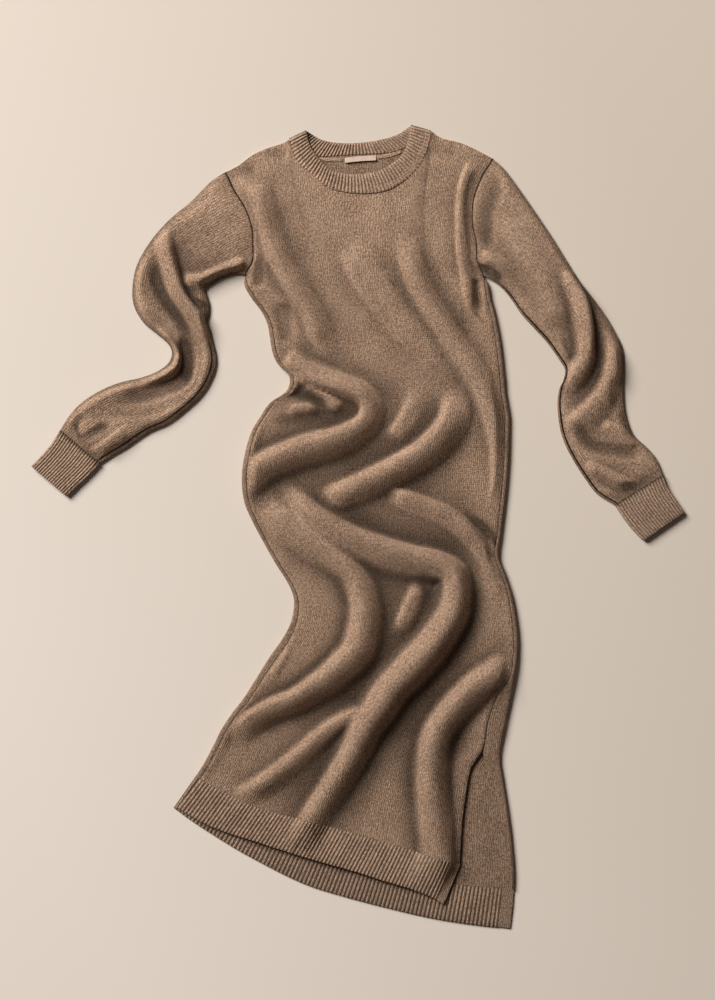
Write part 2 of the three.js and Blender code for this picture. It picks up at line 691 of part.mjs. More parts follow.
/**
 * A tube that lies flat. Each ring has a width, the columns round it, a function from the
 * share across to the place in plan, and one for the height of its upper layer.
 */
function flatTube(name, rings, material, thick, mirrored) {
  const faces = [[], []];
  rings.forEach((ring) => {
    const [start, end] = [ring.place(0), ring.place(1)];
    const across = [(end[0] - start[0]) / ring.wide, (end[1] - start[1]) / ring.wide];
    const points = ring.columns.map((column) => {
      const share = column.far / ring.wide;
      const near = Math.min(column.far, ring.wide - column.far);
      const turn = rounding(near, ring.edge);
      const level = (share < 0.5 ? 1 : -1) * (1 - THREE.MathUtils.clamp(near / ring.edge, 0, 1));
      const place = ring.place(share);
      const high = column.above ? ring.above(place, share, near, turn) : ring.middle * (1 - turn);
      const through = [across[0] * level, across[1] * level, column.above ? -turn : turn];
      const length = Math.hypot(...through) || 1;
      return { at: [...place, high], through: through.map((value) => value / length), rib: column.rib ?? 0 };
    });
    if (mirrored) points.reverse();
    faces[0].push(points.map((point) => moved(point.at, point.through, -point.rib)));
    faces[1].push(points.map((point) => moved(point.at, point.through, thick)));
  });
  return wall(name, faces[0], faces[1], material, { around: true });
}

const SLEEVE_MIDDLE = 4.5;
const ARMHOLE_FADE = 0.2;
const SEAM_HEIGHT_FADE = 0.1;

/** One sleeve, from the body's sewn armhole edge to the cuff seam. */
function sleeve(name, table, folds, armhole, toCuff, mirrored) {
  const ready = folds.map(crease);
  const betweenShares = shares(armhole).slice(1, -1);
  const ends = [armhole[0], armhole[armhole.length - 1]];
  const rings = Array.from({ length: SLEEVE_STEPS + 1 }, (_, i) => {
    const at = i / SLEEVE_STEPS;
    const s = station(SLEEVE_COLUMNS, table, at);
    const wide = Math.hypot(s.ix - s.ox, s.iy - s.oy);
    const bowFade = 1 - ease(at / ARMHOLE_FADE);
    const seamFade = 1 - ease(at / SEAM_HEIGHT_FADE);
    const clear = i === SLEEVE_STEPS ? HALF_SEAM : 0;
    const place = (share) => {
      const bow = departure(straight(armhole, share), ends, share);
      return [s.ox + (s.ix - s.ox) * share + bow[0] * bowFade - toCuff[0] * clear,
        s.oy + (s.iy - s.oy) * share + bow[1] * bowFade - toCuff[1] * clear];
    };
    const above = ([x, y], share, near, turn) => {
      const free = folded(ready, x, y, SLEEVE_LOFT, SLEEVE_LOW);
      const height = SLEEVE_EDGE_LOFT + (free - SLEEVE_EDGE_LOFT) * ease(near / SETTLE);
      const tube = SLEEVE_MIDDLE + (height - SLEEVE_MIDDLE) * turn;
      return tube + (straight(armhole, share)[2] - tube) * seamFade;
    };
    const columns = sleeveColumns(wide, betweenShares);
    return { wide, edge: EDGE, middle: SLEEVE_MIDDLE, place, above, columns };
  });
  return flatTube(name, rings, KNIT, WALL, mirrored);
}

const CUFF_EDGE = 6;
const CUFF_STEPS = 2;
const CUFF_UNDERSIDE = 7;

/** One ribbed cuff: raised ribs above, a plain flat underside. */
function cuff(name, table, fromSleeve, mirrored) {
  const rings = Array.from({ length: CUFF_STEPS + 1 }, (_, i) => {
    const s = station(SLEEVE_COLUMNS, table, i / CUFF_STEPS);
    const wide = Math.hypot(s.ix - s.ox, s.iy - s.oy);
    const shift = i === 0 ? fromSleeve.map((value) => value * HALF_SEAM) : [0, 0];
    const place = (share) => [
      s.ox + (s.ix - s.ox) * share + shift[0],
      s.oy + (s.iy - s.oy) * share + shift[1],
    ];
    const above = Array.from({ length: 2 * CUFF_RIBS + 1 }, (_, k) => ({
      far: (wide * k) / (2 * CUFF_RIBS), above: true, rib: k % 2 ? RIB_RISE : 0,
    }));
    const below = Array.from({ length: CUFF_UNDERSIDE }, (_, k) => ({
      far: (wide * (CUFF_UNDERSIDE - k)) / (CUFF_UNDERSIDE + 1), above: false,
    }));
    const middle = CUFF_LOFT / 2;
    const upper = (point, share, near, turn) => middle + (CUFF_LOFT - middle) * turn;
    return { wide, edge: CUFF_EDGE, middle, place, above: upper, columns: [...above, ...below] };
  });
  return flatTube(name, rings, RIB, RIB_WALL, mirrored);
}

// Ribbed bands

const NECK_CENTRE = [3, 590];
const NECK_LOFT = { ends: 6, middle: 10.4 };
const FOLD_TURNS = [60, 0, -60]; // degrees of the points round the neckband's fold
const LEFT_FOLD_OUT = [-0.433, 0.902];
const RIGHT_FOLD_OUT = [0.266, 0.964];

/** A seam point moved towards the neck's centre by half the seam gap. */
function towardsNeck(point) {
  const away = Math.hypot(NECK_CENTRE[0] - point[0], NECK_CENTRE[1] - point[1]);
  return point.map((value, c) => value + ((NECK_CENTRE[c] - value) / away) * 2 * HALF_SEAM);
}

/**
 * Neckband: one ring of rib, its front half on top, folded over at both shoulders, its
 * back half on the table with the inside showing.
 */
function neckband(frontSeam, backSeam) {
  const columns = [];
  const frontPoints = 2 * NECK_RIBS_FRONT;
  const backPoints = 2 * NECK_RIBS_BACK;
  for (let k = 0; k <= frontPoints; k += 1) {
    const share = k / frontPoints;
    const loft = NECK_LOFT.ends + (NECK_LOFT.middle - NECK_LOFT.ends) * Math.sin(Math.PI * share) ** 0.6;
    columns.push({
      seam: straight(frontSeam, share), edge: along(FRONT_NECK_EDGE, share), high: loft - RIB_WALL / 2,
      out: [0, 0, 1], outRib: k % 2 ? RIB_RISE : 0, inRib: 0,
    });
  }
  const fold = (seam, edge, outward, turns) => {
    const radius = (NECK_LOFT.ends - RIB_WALL) / 2;
    turns.forEach((degrees) => {
      const angle = THREE.MathUtils.degToRad(degrees);
      const push = radius * Math.cos(angle);
      const shifted = (point) => [point[0] + outward[0] * push, point[1] + outward[1] * push];
      const out = [outward[0] * Math.cos(angle), outward[1] * Math.cos(angle), Math.sin(angle)];
      const high = NECK_LOFT.ends / 2 + radius * Math.sin(angle);
      columns.push({ seam: shifted(seam), edge: shifted(edge), high, out, outRib: 0, inRib: 0 });
    });
  };
  fold(straight(frontSeam, 1), along(FRONT_NECK_EDGE, 1), RIGHT_FOLD_OUT, FOLD_TURNS);
  for (let k = backPoints; k >= 0; k -= 1) {
    const share = k / backPoints;
    columns.push({
      seam: straight(backSeam, share), edge: along(BACK_NECK_EDGE, share), high: RIB_WALL / 2,
      out: [0, 0, -1], outRib: 0, inRib: k % 2 ? RIB_RISE : 0,
    });
  }
  fold(straight(frontSeam, 0), along(FRONT_NECK_EDGE, 0), LEFT_FOLD_OUT, [...FOLD_TURNS].reverse());
  const face = (sign) => ['edge', 'seam'].map((end) => columns.map((column) => {
    const rib = sign > 0 ? column.outRib : column.inRib;
    return moved([...column[end], column.high], column.out, sign * (RIB_WALL / 2 + rib));
  }));
  return wall('neckband', face(1), face(-1), RIB, { around: true });
}

/** A flat ribbed strip between two lines, with its ribs raised above. */
function ribStrip(name, ribs, topLine, endLine, topHeight, endHeight) {
  const points = 2 * ribs;
  const plain = { start: 1, stop: 1 };
  const face = (lift) => [[topLine, topHeight], [endLine, endHeight]].map(([line, height]) => Array.from(
    { length: points + 1 },
    (_, k) => {
      const share = k / points;
      const [x, y] = line(share);
      const raised = k % 2 && k > plain.start && k < points - plain.stop ? RIB_RISE : 0;
      return [x, y, height(share, x, y) + (lift ? raised : -RIB_WALL)];
    },
  ));
  return wall(name, face(true), face(false), RIB);
}

const HEM_LIFT = { left: 6.4, middle: 12, right: 8.4 };
const HEM_FOLD_SHARE = 0.55; // how much of a fold's height is left at the free edge

/** Height of the front hem band's free edge at a share across. */
function hemLift(share, x, y) {
  const ends = HEM_LIFT.left + (HEM_LIFT.right - HEM_LIFT.left) * share;
  const bow = (HEM_LIFT.middle - Math.max(HEM_LIFT.left, HEM_LIFT.right)) * Math.sin(Math.PI * share) ** 0.7;
  const relief = folded(bodyFolds, x, y, BODY_LOFT, BODY_LOW) - BODY_LOFT;
  return ends + bow + Math.max(relief, 0) * HEM_FOLD_SHARE * ease(6 * share) * ease(6 * (1 - share));
}

/** Blank woven label, laid on the inside of the back below the neck. */
function neckLabel() {
  const top = [];
  const below = [];
  [1, 0].forEach((side) => {
    const row = Array.from({ length: LABEL.columns + 1 }, (_, k) => {
      const [x, y] = along(LABEL.line, k / LABEL.columns);
      return [x, y + (side - 0.5) * LABEL.deep, LABEL.under];
    });
    top.push(row.map(([x, y, z]) => [x, y, z + LABEL.thick]));
    below.push(row);
  });
  return wall('neck_label', top, below, TAG);
}

const dress = new THREE.Group();
const front = frontGrid();
const armholeRows = front.slice(0, ARMHOLE_STEPS + 1);
const armholeEdge = (column, gap) => armholeRows.map((row) => {
  const [x, y, z] = row[column];
  return [x + gap, y, z];
});
const lastColumn = front[0].length - 1;
const neckEnds = [SHOULDER_COLUMNS, SHOULDER_COLUMNS + NECK_COLUMNS];
const frontNeck = front[0].slice(neckEnds[0], neckEnds[1] + 1).map(([x, y]) => towardsNeck([x, y]));
const backNeck = Array.from({ length: BACK_NECK_COLUMNS + 1 }, (_, k) => (
  towardsNeck(along(BACK_NECK_SEAM, k / BACK_NECK_COLUMNS))
));
const backHem = backHemLine();
const frontHemLine = front[front.length - 1];

dress.add(frontPanel(front));
dress.add(backPanel());
dress.add(sleeve(
  'sleeve_left_of_view', LEFT_SLEEVE, LEFT_SLEEVE_FOLDS, armholeEdge(0, -SEAM), LEFT_WRIST, false,
));
dress.add(sleeve(
  'sleeve_right_of_view', RIGHT_SLEEVE, RIGHT_SLEEVE_FOLDS, armholeEdge(lastColumn, SEAM), RIGHT_WRIST, true,
));
dress.add(cuff('cuff_left_of_view', LEFT_CUFF, LEFT_WRIST, false));
dress.add(cuff('cuff_right_of_view', RIGHT_CUFF, RIGHT_WRIST, true));
dress.add(neckband(frontNeck, backNeck));
dress.add(ribStrip(
  'hem_band_front', HEM_RIBS_FRONT,
  (share) => {
    const [x, y] = straight(frontHemLine, share);
    return [x - 0.3 * SEAM, y - SEAM];
  },
  (share) => along(FRONT_HEM_END, share),
  (share) => straight(frontHemLine, share)[2],
  hemLift,
));
dress.add(ribStrip(
  'hem_band_back', HEM_RIBS_BACK,
  (share) => straight(backHem, share).map((value, c) => value - (c ? SEAM : 0.3 * SEAM)),
  (share) => along(BACK_HEM_END, share),
  () => RIB_WALL,
  () => RIB_WALL,
));
dress.add(neckLabel());

export default dress;
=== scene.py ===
"""The looks of a long-sleeved sweater dress that lies on a pale table, front up.

Every cloth piece is a closed wall over a grid of two parameters. Sizes of cloth are in
millimetres, in the frame of the solids, and a mesh is scaled to metres when it is made. The
studio's sizes are in metres. Left and right are the viewer's.
"""

from __future__ import annotations

import logging
import math
from dataclasses import dataclass, field
from enum import IntEnum
from typing import Callable, Sequence

import bpy
import numpy as np
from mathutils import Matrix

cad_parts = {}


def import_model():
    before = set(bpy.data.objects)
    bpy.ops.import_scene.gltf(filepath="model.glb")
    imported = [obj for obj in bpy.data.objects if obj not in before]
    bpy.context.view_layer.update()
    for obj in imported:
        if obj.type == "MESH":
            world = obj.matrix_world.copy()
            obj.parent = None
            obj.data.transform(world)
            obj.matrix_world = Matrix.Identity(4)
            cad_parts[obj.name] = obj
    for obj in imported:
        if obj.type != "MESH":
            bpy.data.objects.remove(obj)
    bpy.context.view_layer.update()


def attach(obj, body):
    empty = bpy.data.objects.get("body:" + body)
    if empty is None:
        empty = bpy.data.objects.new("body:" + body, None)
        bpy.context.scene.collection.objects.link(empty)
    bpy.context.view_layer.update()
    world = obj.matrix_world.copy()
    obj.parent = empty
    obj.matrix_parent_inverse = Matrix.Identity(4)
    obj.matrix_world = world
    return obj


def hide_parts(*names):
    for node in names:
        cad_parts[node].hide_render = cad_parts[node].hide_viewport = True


Array = np.ndarray
log = logging.getLogger("sweater_dress")

MM = 0.001
PER_METRE = 1000.0
TINY = 1e-9
UP = np.array([0.0, 0.0, 1.0])
WALL = 2.0  # thickness of the knitted cloth
RIB_WALL = 2.2  # thickness of a ribbed band between its ribs
EDGE = 8.0  # how far a folded edge takes to round over
SEAM = 0.3  # gap between two pieces that are sewn together
SEAM_SINK = 1.1  # how far the cloth sinks to a seam, from SEAM_REACH away
SEAM_REACH = 5.0
BODY_LOFT = 9.0  # height of the body's upper layer where no fold lifts it
BODY_LOW = 4.8  # lowest height of the body's upper layer
SLEEVE_LOFT = 10.0
SLEEVE_LOW = 5.5
SETTLE = 16.0  # how far in from an edge the body's folds reach their full height
TO_LIGHT = (-0.7, 0.714)  # direction in plan towards the key light
SKEW = 5.5  # how far a fold's crest moves off its line towards the light

# Shares down the body: the armhole, the hem seam, and where the curves of neck and hem fade.
ARMHOLE_END = 0.148
UNDERARM_TURN = 0.154
HEM_SEAM = 0.905
NECK_FADE = 0.235
HEM_FADE_FROM = 0.63

# Shares across the top between which the neck lies.
NECK_START = 0.24
NECK_STOP = 0.77

# A fold's section, where it ends in widths of its flank, and the steps between two points.
BELL = 2.6
BELL_END = 1.62
LEAST_FLANK = 4.0
LINE_STEPS = 10

# A point's "lift" is how far it stands out of the cloth around it, from -1 to 1. A low lift
# darkens seams and is painted shade in hollows, creases and under other pieces; on ribs a high
# lift is a painted highlight.
SEAM_LIFT = -1.3
CREASE_LIFT = -0.85
SHARP = 62.0  # degrees between two faces at a cut edge
END_TURNS = (40.0, 75.0)  # degrees round the free edge of a ribbed band


class EdgeKind(IntEnum):
    """How the back ends at its side."""

    SEWN = 0
    TURNED = 1
    LAPPED = 2


class Layer(IntEnum):
    """Where a column of the folded neckband lies."""

    BACK = -1
    FOLD = 0
    FRONT = 1


# Curves


def ease(t: Array | float) -> Array:
    """Rise from 0 to 1 with level ends: 3t^2 - 2t^3."""
    k = np.clip(t, 0.0, 1.0)
    return k * k * (3.0 - 2.0 * k)


def cubic(knots: Sequence[float] | Array, rows: Sequence | Array, at: Array | float) -> Array:
    """Smooth cubic through rows of numbers: Hermite pieces whose slopes span both neighbours.

    Args:
        knots: Rising positions of the rows.
        rows: Rows of numbers, one for each knot.
        at: Positions to work out, of any shape.

    Returns:
        Values with one more axis than at.
    """
    knots = np.asarray(knots, float)
    rows = np.asarray(rows, float)
    at = np.clip(np.asarray(at, float), knots[0], knots[-1])
    before = np.maximum(np.arange(len(knots)) - 1, 0)
    after = np.minimum(np.arange(len(knots)) + 1, len(knots) - 1)
    slope = (rows[after] - rows[before]) / (knots[after] - knots[before])[:, None]
    i = np.clip(np.searchsorted(knots, at, side="right") - 1, 0, len(knots) - 2)
    gap = (knots[i + 1] - knots[i])[..., None]
    t = (at - knots[i])[..., None] / gap
    start = (2 * t**3 - 3 * t**2 + 1) * rows[i] + (t**3 - 2 * t**2 + t) * gap * slope[i]
    end = (3 * t**2 - 2 * t**3) * rows[i + 1] + (t**3 - t**2) * gap * slope[i + 1]
    return start + end


def run_of(points: Array) -> Array:
    """Length of a line up to each of its points."""
    steps = np.linalg.norm(np.diff(points, axis=0), axis=-1)
    return np.concatenate([[0.0], np.cumsum(steps)])


def shares_of(points: Sequence | Array) -> Array:
    """Shares of a line's length in plan at which its points lie."""
    run = run_of(np.asarray(points, float)[:, :2])
    return run / run[-1]


def along(points: Sequence | Array, share: Array | float) -> Array:
    """Point at a share of the length of a smooth line through points."""
    return cubic(shares_of(points), points, share)


def spread(value: float | Sequence[float], share: Array) -> Array:
    """A number, or numbers spread evenly over 0 to 1, at a share."""
    row = np.atleast_1d(np.asarray(value, float))
    if len(row) == 1:
        return np.full(share.shape, row[0])
    return np.interp(share, np.linspace(0.0, 1.0, len(row)), row)


def rib_wave(turns: Array) -> Array:
    """Raised ribs, one to a turn: a cosine from 0 between them to 1 on top, drawn fuller."""
    return (0.5 - 0.5 * np.cos(2 * np.pi * turns)) ** 0.8


def rounding(near: Array, edge: float = EDGE) -> Array:
    """How level a folded edge is at a distance in from it: a quarter circle, 0 to 1."""
    open_part = 1.0 - np.clip(near / edge, 0.0, 1.0)
    return np.sqrt(1.0 - open_part**2)


# Folds


@dataclass(frozen=True)
class Fold:
    """One fold of the cloth: a crest line with a height and a flank on either side."""

    name: str
    line: tuple
    high: float | tuple
    left: float | tuple
    right: float | tuple
    fade: tuple[float, float] = (0.2, 0.2)
    foot: float = 2.0
    lean: float = 0.0
    dip: bool = False

    def lie(self, x: Array, y: Array) -> tuple[Array, Array, Array]:
        """Height of the fold over each place, and the way its crest leans there.

        The height is high * taper * (1 - t^2 / 2.6)^foot, t being the distance from the
        crest line over the width of the flank on that side.

        Args:
            x: Places in plan.
            y: Places in plan.

        Returns:
            Heights, and the two parts of the shift in plan.
        """
        x, y = x - SKEW * TO_LIGHT[0], y - SKEW * TO_LIGHT[1]
        count = LINE_STEPS * (len(self.line) - 1)
        crest = along(self.line, np.linspace(0.0, 1.0, count + 1))
        widest = BELL_END * max(np.max(self.left), np.max(self.right))
        low, top = crest.min(0) - widest, crest.max(0) + widest
        near = (x > low[0]) & (x < top[0]) & (y > low[1]) & (y < top[1])
        px, py = x[near], y[near]
        held = [np.full(px.shape, np.inf)] + [np.zeros(px.shape)] * 5
        for k in range(count):
            step = crest[k + 1] - crest[k]
            length = math.hypot(*step)
            dx, dy = px - crest[k, 0], py - crest[k, 1]
            part = np.clip((dx * step[0] + dy * step[1]) / (step @ step), 0.0, 1.0)
            ex, ey = dx - part * step[0], dy - part * step[1]
            far = np.hypot(ex, ey)
            side = ex * step[1] - ey * step[0]
            lit = (ex * TO_LIGHT[0] + ey * TO_LIGHT[1]) / np.maximum(far, TINY)
            here = (far, (k + part) / count, side, step[1] / length, -step[0] / length, lit)
            nearer = far < held[0]
            held = [np.where(nearer, new, old) for new, old in zip(here, held)]
        best, share, side, nx, ny, facing = held
        start, stop = self.fade
        taper = (ease(share / start) if start else 1.0) * (ease((1.0 - share) / stop) if stop else 1.0)
        flank = np.where(side < 0, spread(self.left, share), spread(self.right, share))
        if not self.dip:
            flank = np.maximum(flank - SKEW * facing, LEAST_FLANK)
        shape = np.clip(1.0 - (best / flank) ** 2 / BELL, 0.0, None) ** self.foot
        tall = spread(self.high, share) * taper * shape
        whole = np.zeros((3, *x.shape))
        whole[:, near] = tall, nx * tall * self.lean, ny * tall * self.lean
        return whole[0], whole[1], whole[2]


@dataclass(frozen=True)
class Relief:
    """The folds of one layer of cloth together."""

    folds: tuple[Fold, ...]
    loft: float
    low: float
    mix: float = 4.0
    soft: float = 2.5
    most: float = 60.0

    def lie(self, x: Array, y: Array) -> tuple[Array, Array, Array]:
        """Height and shift of the layer: ridges joined by a power mean, less the dips.

        Args:
            x: Places in plan.
            y: Places in plan.

        Returns:
            Heights kept above low by a soft floor, and the shift in plan.
        """
        ridges, dips, total, sx, sy = np.zeros((5, *x.shape))
        for fold in self.folds:
            height, fx, fy = fold.lie(x, y)
            if fold.dip:
                dips += height
            else:
                ridges += height**self.mix
                total += height
                sx += fx
                sy += fy
        joined = ridges ** (1.0 / self.mix)
        share = joined / np.maximum(total, TINY)
        free = np.minimum((self.loft + joined - dips - self.low) / self.soft, self.most)
        return self.low + self.soft * np.log1p(np.exp(free)), sx * share, sy * share


def dip(name: str, line: tuple, deep: float, left: float, right: float, **more: object) -> Fold:
    """A hollow in the cloth."""
    return Fold(name, line, deep, left, right, dip=True, **more)


BODY_FOLDS = (
    # the chest
    Fold("left chest", ((-156, 520), (-152, 508), (-140, 468), (-126, 424), (-110, 386), (-89, 352),
        (-70, 322), (-59, 294), (-53, 268), (-62, 248)), (6, 12, 13, 13, 13, 12, 10), 15, 15,
        fade=(0.1, 0.15)),
    dip("left armhole groove", ((-147, 410), (-144, 380), (-146, 350)), 6, 7, 8, fade=(0.3, 0.2)),
    dip("waist left hollow", ((-113, 335), (-108, 300), (-110, 265)), 9, 12, 13, fade=(0.3, 0.3)),
    Fold("belly middle", ((-24, 416), (-8, 388), (4, 368), (30, 332), (55, 301), (85, 271), (111, 246),
        (130, 222)), 9, 30, 10, fade=(0.2, 0.35)),
    dip("belly middle groove", ((-4, 402), (16, 364), (42, 328), (66, 298), (96, 268), (122, 240)), 4,
        7, 10, fade=(0.2, 0.3)),
    Fold("belly long", ((76, 445), (86, 390), (101, 352), (123, 315), (148, 276), (172, 242),
        (190, 207), (201, 175), (209, 140), (212, 100), (209, 60), (198, 28)),
        (7, 12, 13, 13, 11, 7, 6), 13, (20, 20, 20, 20, 14, 9), fade=(0.15, 0.1)),
    dip("belly long groove", ((95, 425), (112, 380), (136, 342), (158, 306), (184, 272)), 3, 14, 14),
    Fold("right armhole", ((174, 548), (159, 510), (155, 460), (156, 418), (161, 383), (168, 347),
        (179, 312)), 9, 9, 9, fade=(0.1, 0.15)),
    dip("right neck", ((100, 558), (128, 560), (156, 560)), 3, 12, 12),
    dip("left neck", ((-139, 555), (-118, 556), (-99, 555)), 2.5, 8, 8),
    dip("left shoulder", ((-188, 526), (-165, 531), (-147, 533)), 4, 9, 9),
    dip("right armpit", ((186, 368), (187, 338), (184, 304)), 8, 9, 9, fade=(0.1, 0.6)),
    # the waist
    Fold("hip and waist", ((-175, 48), (-160, 75), (-141, 92), (-111, 107), (-75, 120), (-40, 130),
        (-10, 143), (10, 160), (14, 180), (2, 196), (-22, 205), (-52, 213), (-84, 223), (-114, 240)),
        (14, 20, 22, 22, 22, 22, 20, 18, 17, 17, 16, 14), (17, 17, 17, 17, 15, 10, 8, 7, 7),
        (18, 19, 20, 20, 18, 16, 20, 24, 24), fade=(0.05, 0.03), foot=1.5),
    dip("pocket", ((-130, 152), (-90, 156), (-60, 160), (-30, 168)), 5, 9, 9, fade=(0.3, 0.3)),
    Fold("pocket ridge", ((-106, 172), (-80, 177), (-54, 173)), 6, 8, 8, fade=(0.3, 0.3)),
    dip("pocket top", ((-108, 200), (-84, 197), (-60, 188), (-36, 174)), 9, 7, 8, fade=(0.2, 0.25)),
    Fold("pocket edge", ((-82, 211), (-62, 200), (-38, 186), (-17, 170)), 9, 8, 9, fade=(0.2, 0.2)),
    Fold("hip small", ((48, 126), (66, 150), (80, 175), (90, 206)), 7, 13, 13, fade=(0.25, 0.4)),
    Fold("thigh roll", ((-58, 34), (-34, 45), (-10, 56), (25, 73), (62, 92), (95, 113), (122, 138),
        (138, 162), (142, 188), (134, 214)), (14, 18, 20, 22, 22, 20, 14), 16, (14, 18, 20, 20),
        fade=(0.15, 0.25), foot=1.5),
    # the skirt
    Fold("right lap", ((44, 53), (66, 48), (98, 37), (135, 21), (157, 5), (174, -10), (190, -28),
        (204, -52), (214, -82)), (8, 12, 13, 13, 13, 14, 12, 8, 4), 8, (16, 16, 18), fade=(0.15, 0.0),
        foot=1.4),
    dip("right lap hollow", ((160, 22), (180, 4), (195, -14), (208, -36), (214, -50)), 9, 6, 9,
        fade=(0.4, 0.0)),
    Fold("knee roll", ((-84, -470), (-66, -436), (-46, -405), (-28, -378), (-8, -345), (14, -303),
        (33, -277), (56, -243), (80, -218), (104, -192), (128, -160), (146, -128), (151, -96),
        (145, -68), (118, -50), (85, -42), (45, -31), (-5, -13), (-45, 8), (-72, 25), (-100, 48),
        (-118, 66)), (13, 20, 26, 30, 32, 31, 29, 25, 22, 20, 15),
        (17, 18, 22, 28, 28, 26, 24, 26, 28, 28, 24), (14, 15, 16, 17, 18, 15, 13, 13, 13, 13),
        fade=(0.0, 0.1), foot=1.5),
    Fold("calf upper", ((34, -262), (-5, -282), (-35, -300), (-62, -322), (-92, -348), (-122, -372),
        (-155, -394), (-190, -408)), 13, 12, 15, fade=(0.15, 0.2)),
    Fold("shin roll", ((-200, -322), (-168, -292), (-130, -270), (-94, -256), (-58, -234), (-28, -212),
        (0, -186), (10, -150), (11, -118), (6, -92), (-6, -68), (-33, -42), (-66, -18), (-98, 6),
        (-125, 30), (-146, 54)), (10, 18, 22, 25, 25, 22, 18, 16, 14, 12),
        (14, 12, 14, 18, 24, 20, 20, 24, 26, 24), (16, 16, 16, 20, 20, 18, 15, 14, 14, 14),
        fade=(0.1, 0.12), foot=1.6),
    Fold("shin small", ((58, -168), (72, -135), (84, -108), (96, -78)), 9, 12, 12, fade=(0.3, 0.25)),
    Fold("left edge", ((-98, -80), (-100, -130), (-106, -165), (-122, -205), (-150, -245)), 8, 8, 36,
        fade=(0.3, 0.3)),
    Fold("side roll", ((128, -510), (124, -490), (119, -450), (114, -410), (112, -370), (114, -335),
        (124, -302), (148, -268), (180, -238), (212, -216), (236, -200)), (16, 20, 24, 26, 25, 21, 16),
        (24, 22, 20, 20), 17, fade=(0.0, 0.1), foot=1.5),
)

LEFT_SLEEVE_FOLDS = (
    dip("cap", ((-272, 460), (-240, 482), (-212, 503)), 3, 8, 9),
    Fold("elbow lap", ((-214, 284), (-230, 305), (-248, 325), (-263, 347), (-273, 372), (-280, 398),
        (-286, 425), (-292, 455)), (12, 14, 15, 15, 14, 12), 15, 6, fade=(0.0, 0.25), foot=1.4,
        lean=0.2),
    Fold("outer side", ((-322, 420), (-328, 388), (-326, 356), (-316, 330), (-298, 308), (-284, 290)),
        6, 9, 10, fade=(0.3, 0.3)),
    dip("elbow trough", ((-304, 396), (-299, 366), (-289, 342), (-272, 318), (-258, 296), (-250, 270)),
        7, 7, 8, fade=(0.25, 0.1)),
    Fold("elbow rim", ((-300, 300), (-284, 283), (-271, 265), (-268, 248), (-276, 235), (-298, 224),
        (-330, 216)), 11, 5, 6, fade=(0.25, 0.3)),
    dip("elbow pit", ((-256, 282), (-251, 258), (-252, 234), (-262, 214), (-288, 202), (-322, 192),
        (-372, 183)), (13, 16, 16, 11, 7, 5), 10, 10, fade=(0.1, 0.3)),
    Fold("inner ridge", ((-396, 144), (-352, 152), (-318, 154), (-294, 159), (-264, 172), (-238, 195),
        (-222, 230), (-221, 262), (-224, 286)), (3, 3, 2.5, 2.5, 3, 5), 11, 9, fade=(0.15, 0.2),
        foot=1.6),
    Fold("forearm end", ((-404, 104), (-380, 118), (-357, 136), (-332, 152)), 8, 9, 9,
        fade=(0.15, 0.3)),
    Fold("forearm top", ((-424, 166), (-398, 188), (-362, 200), (-325, 206)), 5, 9, 9),
    dip("cuff trough", ((-416, 120), (-388, 139), (-362, 152)), 6, 6, 6, fade=(0.2, 0.3)),
    dip("cuff pit", ((-426, 132), (-417, 152), (-403, 166)), 7, 6, 6, fade=(0.2, 0.3)),
    Fold("underarm", ((-264, 370), (-240, 366), (-215, 374), (-190, 385), (-160, 392)), 9, 12, 7,
        fade=(0.2, 0.1)),
)
RIGHT_SLEEVE_FOLDS = (
    dip("cap", ((206, 534), (207, 500), (197, 470), (193, 435), (191, 406)), 8, 12, 16),
    Fold("upper", ((305, 290), (290, 340), (268, 385), (245, 430), (230, 470)), 4, 22, 22),
    Fold("elbow lap", ((304, 212), (326, 228), (341, 250), (346, 276), (345, 304), (340, 332),
        (332, 360), (318, 392)), (10, 14, 16, 16, 14, 10), (13, 15, 19, 19, 17), (14, 10, 5, 4, 4, 5),
        fade=(0.1, 0.15), foot=1.3, lean=0.22),
    Fold("lower ridge", ((312, 140), (334, 160), (356, 182), (374, 206), (385, 238), (388, 270),
        (378, 304)), (7, 9, 11, 11, 8), 16, 15, fade=(0.15, 0.3)),
    dip("lower pit", ((392, 224), (390, 194), (394, 166)), 4, 10, 8, fade=(0.3, 0.3)),
    dip("wrist valley", ((334, 160), (340, 135), (354, 118), (389, 110), (434, 104)), 6, 9, 9),
    Fold("wrist line", ((368, 154), (398, 138), (426, 118)), 6, 8, 9, fade=(0.2, 0.2)),
    Fold("wrist ridge", ((342, 92), (366, 80), (392, 68), (414, 62), (432, 66)), 8, 9, 9,
        fade=(0.2, 0.4)),
    dip("cuff valley", ((346, 80), (379, 58), (408, 47), (436, 48)), 3, 8, 8, fade=(0.3, 0.3)),
    Fold("underarm", ((186, 400), (206, 394), (220, 382), (236, 362)), 9, 12, 6, fade=(0.1, 0.6)),
    dip("underarm tuck", ((182, 386), (194, 382), (206, 375)), 8, 5, 6, fade=(0.0, 0.6)),
)
